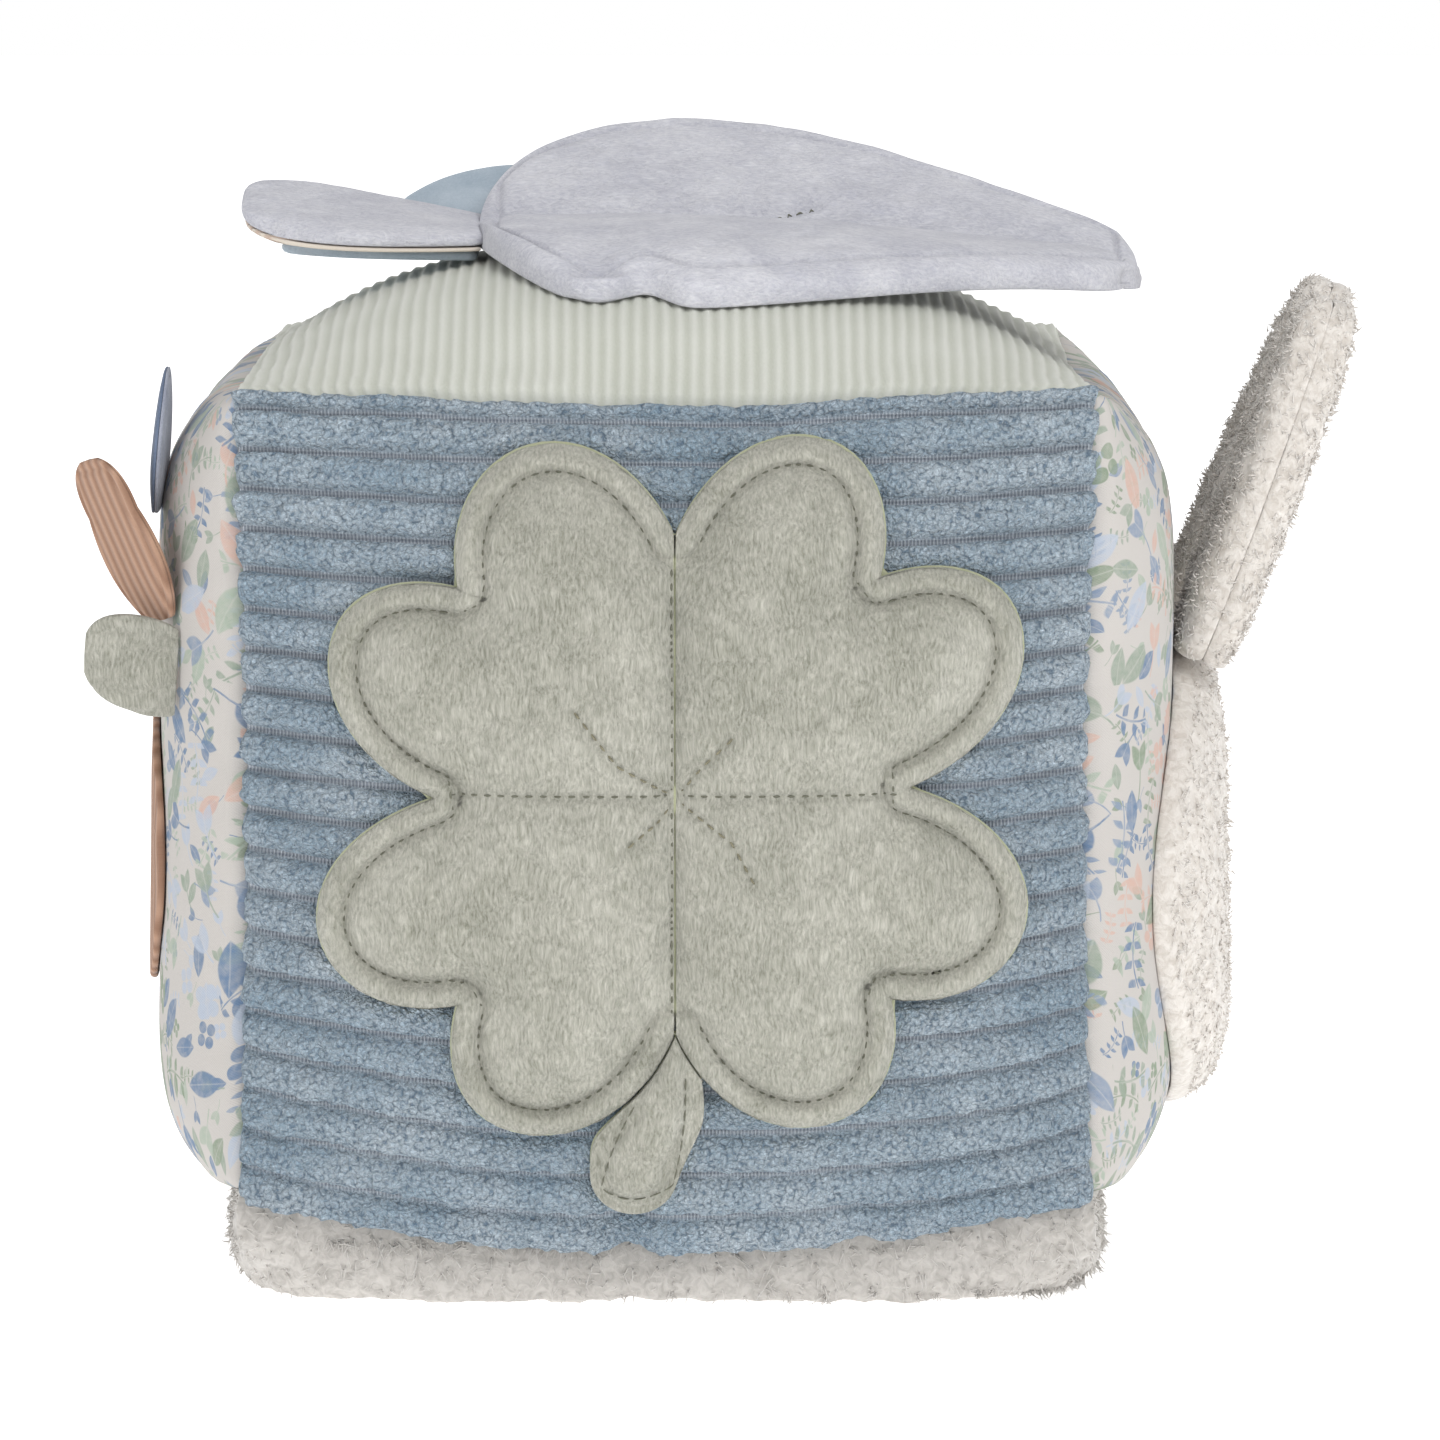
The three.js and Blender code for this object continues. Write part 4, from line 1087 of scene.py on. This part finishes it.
# the pad's height is a puff with a roll outside the seam, less the grooves of the seam, the tack and the
# pucker, with noise for crumples and waves
def makeBirdHalf(name, side, body):
    p = bird
    alongs = (1 - np.cos(np.linspace(0, math.pi, p["rows"]))) / 2
    along, share = np.meshgrid(alongs, np.linspace(0, 1, p["columns"]), indexing="ij")
    nearTip = np.clip((along - 0.9) / 0.1, 0, 1)
    x = p["tailX"] + p["length"] * along - p["tipRound"] * nearTip ** 2 * share ** 4
    rim = birdDepth(along, side) * (1 - 0.08 * nearTip ** 2) + 2 * p["fold"]
    if side < 0:
        rim = rim - 5 * dent(x + 3.5, 5) + 2 * dent(x + 18, 9) - 1.2 * dent(x - 12, 22) + 2.2 * along ** 3
    out = rim * share
    y = side * np.maximum(out, p["fold"])
    fromEnd = np.minimum(along, 1 - along) * p["length"]
    fromRim = np.minimum(rim - out, fromEnd * 1.4)
    fromStitch = fromRim - p["seamIn"]
    place = xyz(x, y, 0)
    atRim = 0.3 if side > 0 else 0.58
    puff = p["padding"] * (0.7 + 0.3 * rise(fromEnd, 9)) * rise(out + 1.5, 12)
    puff = puff * (atRim + (1 - atRim) * rise(fromRim, 10))
    roll = 0.6 * np.sin(math.pi * np.clip(fromRim / p["seamIn"], 0, 1)) ** 0.7 * rise(out, 9)
    groove = 1.0 * dent(fromStitch, 0.8) * rise(fromEnd, 6)
    groove = groove + 1.2 * dent(distanceTo(place[..., :2], tackLine), 1.3)
    pucker = 2.6 * dent(x + 12, 4) * rise(rim - out, 1) * dent(rim - out, 16) if side < 0 else 0
    crumple = 0.7 * fuzz(place * np.array([1, 0.7, 1]), 17, 8) * rise(fromRim, 9) * rise(out, 8)
    waves = 0.35 * fuzz(place * np.array([1, 0.3, 1]), 7, 18, 2) * dent(fromStitch, 6)
    under = birdBed(x, y)
    outer = xyz(x, y, under + (base + puff + roll - groove - pucker + crumple + waves))
    inner = xyz(x, y, under + bed - 0.1 - 0.8 * (1 - rise(fromRim, 1.1)))
    sewn = (fromRim < p["seamIn"] + 0.3) | (out < 1.2) | (fromEnd < 2)
    outer = outer + swollen(outer, inner, sewn, 1.8, 0.07, 2.5)
    nodes = [body + "_cover", body + "_wadding"]
    pad = addSlab(
        name + "Pad", outer, inner, velvetLavender, body, nodes, "velvet_lavender", roundness=0.7, rimSteps=8)
    if side > 0:
        nearest = [np.argmin((x - spot[0]) ** 2 + (y - spot[1]) ** 2) for spot in tackLine]
        line = outer.reshape(-1, 3)[nearest]
        sizes = {"dash": 1.7, "gap": 0.5, "radius": 0.18, "lift": 0.3}
        addStitches("tackStitch", line, (0, -0.4, 0.9), threadDark, body, **sizes)
    middle = p["tailX"] + p["length"] / 2
    inX = (middle + (x - middle) * (1 - 2.6 / p["length"]))[::3, ::3]
    inY = (side * np.maximum((rim - 1.4) * share, p["fold"]))[::3, ::3]
    under = birdBed(inX, inY)
    backing = addSlab(
        name + "Backing", xyz(inX, inY, under + bed - 0.2), xyz(inX, inY, under + 0.1),
        velvetLavender, body, [body + "_backing"], "velvet_lavender", roundness=0.4, rimSteps=4)


makeBirdHalf("birdBack", 1, "bird_back")
makeBirdHalf("birdFront", -1, "bird_front")
print("bird done")

tailPart = {
    "length": 41, "half": 17, "rise": 4.2, "lift": 2.3, "tilt": 8, "cover": 2.9, "lining": 0.8,
    "frontLow": 3.2, "fill": 1,
}
underPart = {
    "length": 34, "half": 14, "rise": 0.5, "lift": 0.35, "tilt": 0, "thick": 1.7, "frontLow": 0, "fill": 0,
}
flapAlong, flapAcross = np.meshgrid(np.linspace(0, 1, 52), sineSteps(46), indexing="ij")


# rises with a power of the way out, tilts up to the back and sinks at the front
def tailPoint(p, height):
    along, across = flapAlong, flapAcross
    rootX = bird["tailX"] - 0.7
    x = rootX - p["length"] * along * (1 - 0.14 * across ** 4)
    x = x + p["fill"] * 1.2 * across ** 2 * (1 - along) ** 8
    y = p["half"] * across * (1 - 0.35 * along ** 4)
    curve = p["rise"] * np.maximum((rootX - x) / p["length"], 0) ** 1.5
    backEdge = (y + p["half"]) * math.tan(math.radians(p["tilt"])) * along ** 0.7
    frontLow = p["frontLow"] * (1 - across) / 2 * along ** 1.2
    return xyz(x, y, tailSeat + p["lift"] + curve + backEdge - frontLow + height)


def makeTail():
    uv = np.stack([flapAlong * tailPart["length"], flapAcross * tailPart["half"]], -1)
    place = xyz(uv[..., 0], uv[..., 1], 0)
    rounded = tapered(flapAcross, 6, 0.7) * tapered(flapAlong, 12, 0.8)
    cover = tailPart["cover"] * rounded + 0.25 * fuzz(place, 9, 3)
    low = tailPart["lining"] + 0.3
    piece = addSlab(
        "tailCover", tailPoint(tailPart, low + cover), tailPoint(tailPart, low),
        velvetLavender, "tail", ["tail_cover"], "velvet_lavender", roundness=0.9, rimSteps=6)
    piece = addSlab(
        "tailLining", tailPoint(tailPart, tailPart["lining"] - 0.05), tailPoint(tailPart, 0),
        stripedLining, "tail", ["tail_lining"], "striped_lining", roundness=1, rimSteps=4, uv=uv)
    top = underPart["thick"] + 0.15 * fuzz(place, 8, 5)
    piece = addSlab(
        "underTail", tailPoint(underPart, top), tailPoint(underPart, 0),
        velvetBlue, "under_tail", ["under_tail_flap"], "velvet_blue", roundness=1, rimSteps=5)


makeTail()

wingPart = {
    "rootX": -23, "y": 24, "length": 26, "half": 6.5, "thick": 2.2, "drop": 0.8, "tilt": 22,
    "frontTilt": 34, "sag": 4.0, "corner": 0.4,
}


# lies at the bird's back rise under its edge, sags with the cube of the way out and tilts more in front
def makeWing():
    p = wingPart
    x = p["rootX"] - p["length"] * flapAlong * (1 - p["corner"] * flapAcross ** 4)
    y = p["y"] + p["half"] * flapAcross * (1 - p["corner"] * flapAlong ** 4)
    slope = math.tan(math.radians(p["tilt"]))
    under = float(birdBed(p["rootX"], p["y"])) + (y - p["y"]) * slope - p["thick"] - p["drop"]
    out = (p["rootX"] - x) / p["length"]
    extra = math.tan(math.radians(p["frontTilt"])) - slope
    under = under - p["sag"] * out ** 3 - (p["y"] + p["half"] - y) * extra * rise(out, 0.25)
    lumps = 0.15 * fuzz(xyz(x, y, 0), 8, 2)
    top = p["thick"] * (1 + 0.2 * rise(out, 0.3)) * tapered(flapAcross, 4, 0.6) + lumps
    piece = addSlab(
        "wingFlap", xyz(x, y, under + top), xyz(x, y, under),
        velvetBlue, "wing", ["wing_flap"], "velvet_blue", roundness=0.9, rimSteps=6)


makeWing()


# a point at a height over the left (-1) or right (1) face
def offSide(side, y, z, height):
    skin = skinPoint("left" if side < 0 else "right", y, z, 0)[..., 0]
    return xyz(skin + side * (layerGap + height), y, z)


# round body between a high and a low surface, each given by angle and share of the way out
def polarMesh(name, place, rings, turns, high, uvOf=None):
    share, angle = np.meshgrid(np.linspace(0, 1, rings), np.linspace(0, 2 * math.pi, turns), indexing="ij")
    top = place(angle, share, high(angle, share))
    under = place(angle, share, 0)
    half, middle = (top[-1] - under[-1]) / 2, (top[-1] + under[-1]) / 2
    away = unit(top[-1] - top[-2])
    reach = np.linalg.norm(half, axis=-1, keepdims=True) * 0.8
    bends = [k * math.pi / 6 for k in range(1, 6)]
    rim = np.stack([middle + half * math.cos(bend) + away * reach * math.sin(bend) for bend in bends])
    rows = np.concatenate([top, rim, under[::-1]])
    uv = None
    if uvOf:
        flat = uvOf(angle, share)
        uv = np.concatenate([flat, np.repeat(flat[-1:], len(bends), 0), flat[::-1]]).reshape(-1, 2)
    return makeMesh(name, rows.reshape(-1, 3), gridQuads(len(rows), turns), uv=uv), top


patchPart = {"radius": 24, "y": -21, "lift": 73, "thick": 1.7, "rings": 50, "around": 120}


def makePatch():
    p = patchPart
    across = lambda angle, share: p["radius"] * share * np.cos(angle)
    upward = lambda angle, share: p["radius"] * share * np.sin(angle)

    def place(angle, share, height):
        return offSide(-1, p["y"] + across(angle, share), p["lift"] + upward(angle, share), height)

    uvOf = lambda angle, share: xyz(across(angle, share), upward(angle, share))
    high = lambda angle, share: p["thick"] * tapered(share, 4, 0.75) + 0.15 * np.sin(angle * 9) * share ** 6
    mesh, top = polarMesh("peachPatch", place, p["rings"], p["around"], high, uvOf)
    piece = addPiece("peachPatch", mesh, ribPeach, "block", ["peach_patch"])


makePatch()

leafParts = {
    "blue": {"length": 25, "half": 11, "root": 0.45, "tip": 0.5, "y": -42, "lift": 136, "seat": 0.8,
             "lean": -5, "twist": 0, "skew": 0, "spread": 0},
    "peach": {"length": 30.5, "half": 10.6, "root": 0.45, "tip": 0.35, "y": -52, "lift": 118, "seat": 1.4,
              "lean": 24, "twist": 32, "skew": 0, "spread": 0.95},
    "sage": {"length": 16, "half": 9, "root": 0.85, "tip": 0.6, "y": -56, "lift": 109, "seat": 0.35,
             "lean": 86, "twist": 84, "skew": -2.5, "spread": 0},
}


# turned first about its length, then leaned over from upright
def leaned(points, lean, twist, origin):
    a, b = math.radians(twist), math.radians(lean)
    x = points[..., 0] * math.cos(a) - points[..., 1] * math.sin(a)
    y = points[..., 0] * math.sin(a) + points[..., 1] * math.cos(a)
    z = points[..., 2]
    return xyz(x * math.cos(b) - z * math.sin(b), y, x * math.sin(b) + z * math.cos(b)) + origin


# a leaf's width is a sine from root to tip, tapered at its end; its thickness tapers to every edge
def makeLeaf(key, outerMaterial, innerMaterial, slot):
    p = leafParts[key]
    along, across = flapAlong, flapAcross
    fullness = p["root"] + (1 - p["root"]) * np.sin(math.pi * along ** 0.8)
    fullness = np.maximum(fullness, p["spread"] * rise(along, 0.9))
    width = p["half"] * fullness * tapered(along, 8, p["tip"])
    sideways = width * across + p["skew"] * along * (1 + 0.4 * across)
    tall = p["length"] * along
    reach = 1.2 * (0.45 + 0.55 * rise(tall, p["half"])) * (1.15 - 0.35 * along)
    reach = reach * tapered(across, 6, 0.5) * tapered(along, 6, 0.35)
    fromEdge = np.minimum(width - np.abs(sideways), p["length"] - tall)
    seam = 0.3 * dent(fromEdge - 1.6, 0.4)
    origin = offSide(-1, p["y"], p["lift"], p["seat"])
    gap = 0.04
    for label, sign, material in (("Outer", -1, outerMaterial), ("Inner", 1, innerMaterial)):
        top = leaned(xyz(sign * (gap + reach - seam), sideways, tall), p["lean"], p["twist"], origin)
        under = leaned(xyz(sign * gap, sideways, tall), p["lean"], p["twist"], origin)
        node = "leaf_" + key + "_" + label.lower()
        piece = addSlab(
            key + "Leaf" + label, top, under, material, "leaf_" + key, [node], slot,
            roundness=0.9, rimSteps=5, uv=np.stack([sideways, tall], -1))


makeLeaf("blue", velvetNavy, velvetSlate, "velvet_blue")
makeLeaf("peach", ribPeach, ribPeach, "rib_peach")
makeLeaf("sage", plushSage, plushSage, "plush_sage")
print("left face done")

headPart = {
    "halfWidth": 55, "halfHeight": 43, "lift": 66, "padding": 4.4, "fleece": 4.6, "rings": 95, "around": 230,
    "strands": 7000, "strandLength": 0.8, "strandRadius": 0.26,
}


# padding as a bulge of the share outward, the fleece over it tapered at the rim, with lumps of noise
def makeHead():
    p = headPart
    across = lambda angle, share: p["halfWidth"] * share * np.cos(angle)
    upward = lambda angle, share: p["halfHeight"] * share * np.sin(angle)

    def place(angle, share, height):
        return offSide(1, across(angle, share), p["lift"] + upward(angle, share), height)

    def high(angle, share):
        spot = xyz(across(angle, share), 0, upward(angle, share))
        lumps = 0.55 * fuzz(spot, 4.2, 6, 2) + 0.3 * noise(spot, 1.7, 8)
        return p["padding"] * bulge(share, 7) + 0.35 + (p["fleece"] + 0.2) * tapered(share, 12, 0.6) + lumps

    mesh, top = polarMesh("teddyHead", place, p["rings"], p["around"], high)
    piece = addPiece("teddyHead", mesh, teddyWhite, "block", ["head_cover", "head_wadding"])
    addStrands("headPile", [(top, top * np.array([0, 1, 1]))], p["strands"], p["strandLength"],
               p["strandRadius"], 51, teddyLitFibre, "block")


makeHead()

earPart = {
    "length": 67, "half": 13, "thick": 7.4, "lift": 2, "seat": 4.6, "layerGap": 0.17, "rows": 130,
    "columns": 60, "strands": 3600, "strandLength": 0.9, "strandRadius": 0.26,
}


# an ear's width is a sine from root to tip; each layer is tapered to its edges, with lumps of noise
def makeEar(name, body, y, lean, seed):
    p = earPart
    along, across = np.meshgrid(np.linspace(0, 1, p["rows"]), sineSteps(p["columns"]), indexing="ij")
    fullness = 0.62 + 0.38 * np.sin(math.pi * along ** 0.75)
    sideways = p["half"] * fullness * tapered(along, 10, 0.5) * across
    tall = p["length"] * along
    thick = (p["thick"] - 1.7) * (0.8 + 0.2 * rise(tall, 11))
    thick = thick * tapered(across, 6, 0.6) * tapered(along, 16, 0.6)
    headTop = headPart["halfHeight"] * math.sqrt(1 - (y / headPart["halfWidth"]) ** 2)
    origin = offSide(1, y, headPart["lift"] + headTop + p["lift"], p["seat"])
    spot = xyz(0, sideways, tall)
    core = leaned(xyz(0, 0, np.clip(tall, 4, p["length"] - 8)), -lean, 0, origin)
    for label, sign in (("Outer", 1), ("Inner", -1)):
        lumps = 0.6 * fuzz(spot + sign * 40, 4.5, seed, 2) + 0.3 * noise(spot + sign * 40, 1.6, seed)
        top = leaned(xyz(sign * (p["layerGap"] + thick + lumps), sideways, tall), -lean, 0, origin)
        under = leaned(xyz(sign * p["layerGap"], sideways, tall), -lean, 0, origin)
        piece = addSlab(
            name + label, top, under, teddyWhite, body, [body + "_" + label.lower()], "teddy_white",
            roundness=0.55, rimSteps=8)
        middle = (top + under) / 2
        grids = [(top, under)]
        for edge in (np.s_[:, 0], np.s_[:, -1], np.s_[-1]):  # both sides and the tip
            grids.append((np.stack([top[edge], middle[edge], under[edge]], 1), np.stack([core[edge]] * 3, 1)))
        addStrands(name + label + "Pile", grids, p["strands"], p["strandLength"], p["strandRadius"],
                   seed + (7 if sign > 0 else 9), teddyLitFibre, body)


makeEar("nearEar", "ear_near", -22, 20, 61)
makeEar("farEar", "ear_far", 22, 23, 71)
print("right face done")

studio = {
    "floor": 3.0, "floorGlow": 0.72, "world": 0.58,
    "lights": [  # name, power, size, place, target
        ("keyLight", 12.1, 0.9, (0.6, -1.2, 1.3), (0, 0, 0.1)),
        ("fillLight", 3.6, 1.2, (-1.2, -1.0, 0.6), (0, 0, 0.08)),
        ("rimLight", 2, 0.8, (0.4, 1.0, 1.2), (0, 0, 0.1)),
    ],
    "lens": 191.7, "sensor": 36, "clipEnd": 20, "camera": (0.0095, -1.3812, 0.3105), "tilt": 81,
}


# near white paper with a faint grain, and a glow that keeps it white
def makeFloor():
    size = studio["floor"]
    mesh = bpy.data.meshes.new("floor")
    corners = [(-size, -size, 0), (size, -size, 0), (size, size, 0), (-size, size, 0)]
    mesh.from_pydata(corners, [], [(0, 1, 2, 3)])
    material, shader, n = newMaterial("floorPaper", 0, 0.9)
    tint = n.mix(n.grain(n.place(), 40), color("#fcfcfc"), color("#ffffff"))
    material.node_tree.links.new(tint, shader.inputs["Base Color"])
    shader.inputs["Emission Color"].default_value = (1, 1, 1, 1)
    shader.inputs["Emission Strength"].default_value = studio["floorGlow"]
    mesh.materials.append(material)
    addObject("floor", mesh)


# white to the camera, and a soft even light to everything else
def makeWorld():
    world = bpy.data.worlds.new("studio")
    world.use_nodes = True
    background = world.node_tree.nodes["Background"]
    n = nodeTools(world.node_tree)
    seen = n.add("ShaderNodeLightPath").outputs["Is Camera Ray"]
    strength = n.timesPlus(seen, 1 - studio["world"], studio["world"])
    background.inputs[0].default_value = (1, 1, 1, 1)
    world.node_tree.links.new(strength, background.inputs[1])
    bpy.context.scene.world = world


def makeLightsAndCamera():
    for name, energy, size, place, target in studio["lights"]:
        lamp = bpy.data.lights.new(name, "AREA")
        lamp.energy = energy
        lamp.size = size
        obj = addObject(name, lamp)
        obj.location = place
        x, y, z = np.array(target) - np.array(place)
        pitch = math.pi / 2 + math.atan2(z, math.hypot(x, y))
        obj.rotation_euler = (pitch, 0, math.atan2(y, x) - math.pi / 2)
    lens = bpy.data.cameras.new("photoCamera")
    lens.lens = studio["lens"]
    lens.sensor_width = studio["sensor"]
    lens.clip_end = studio["clipEnd"]
    camera = addObject("photoCamera", lens)
    camera.location = studio["camera"]
    camera.rotation_euler = (math.radians(studio["tilt"]), 0, 0)
    bpy.context.scene.camera = camera
    bpy.context.scene.view_settings.view_transform = "Standard"


makeFloor()
makeWorld()
makeLightsAndCamera()
print("studio done")
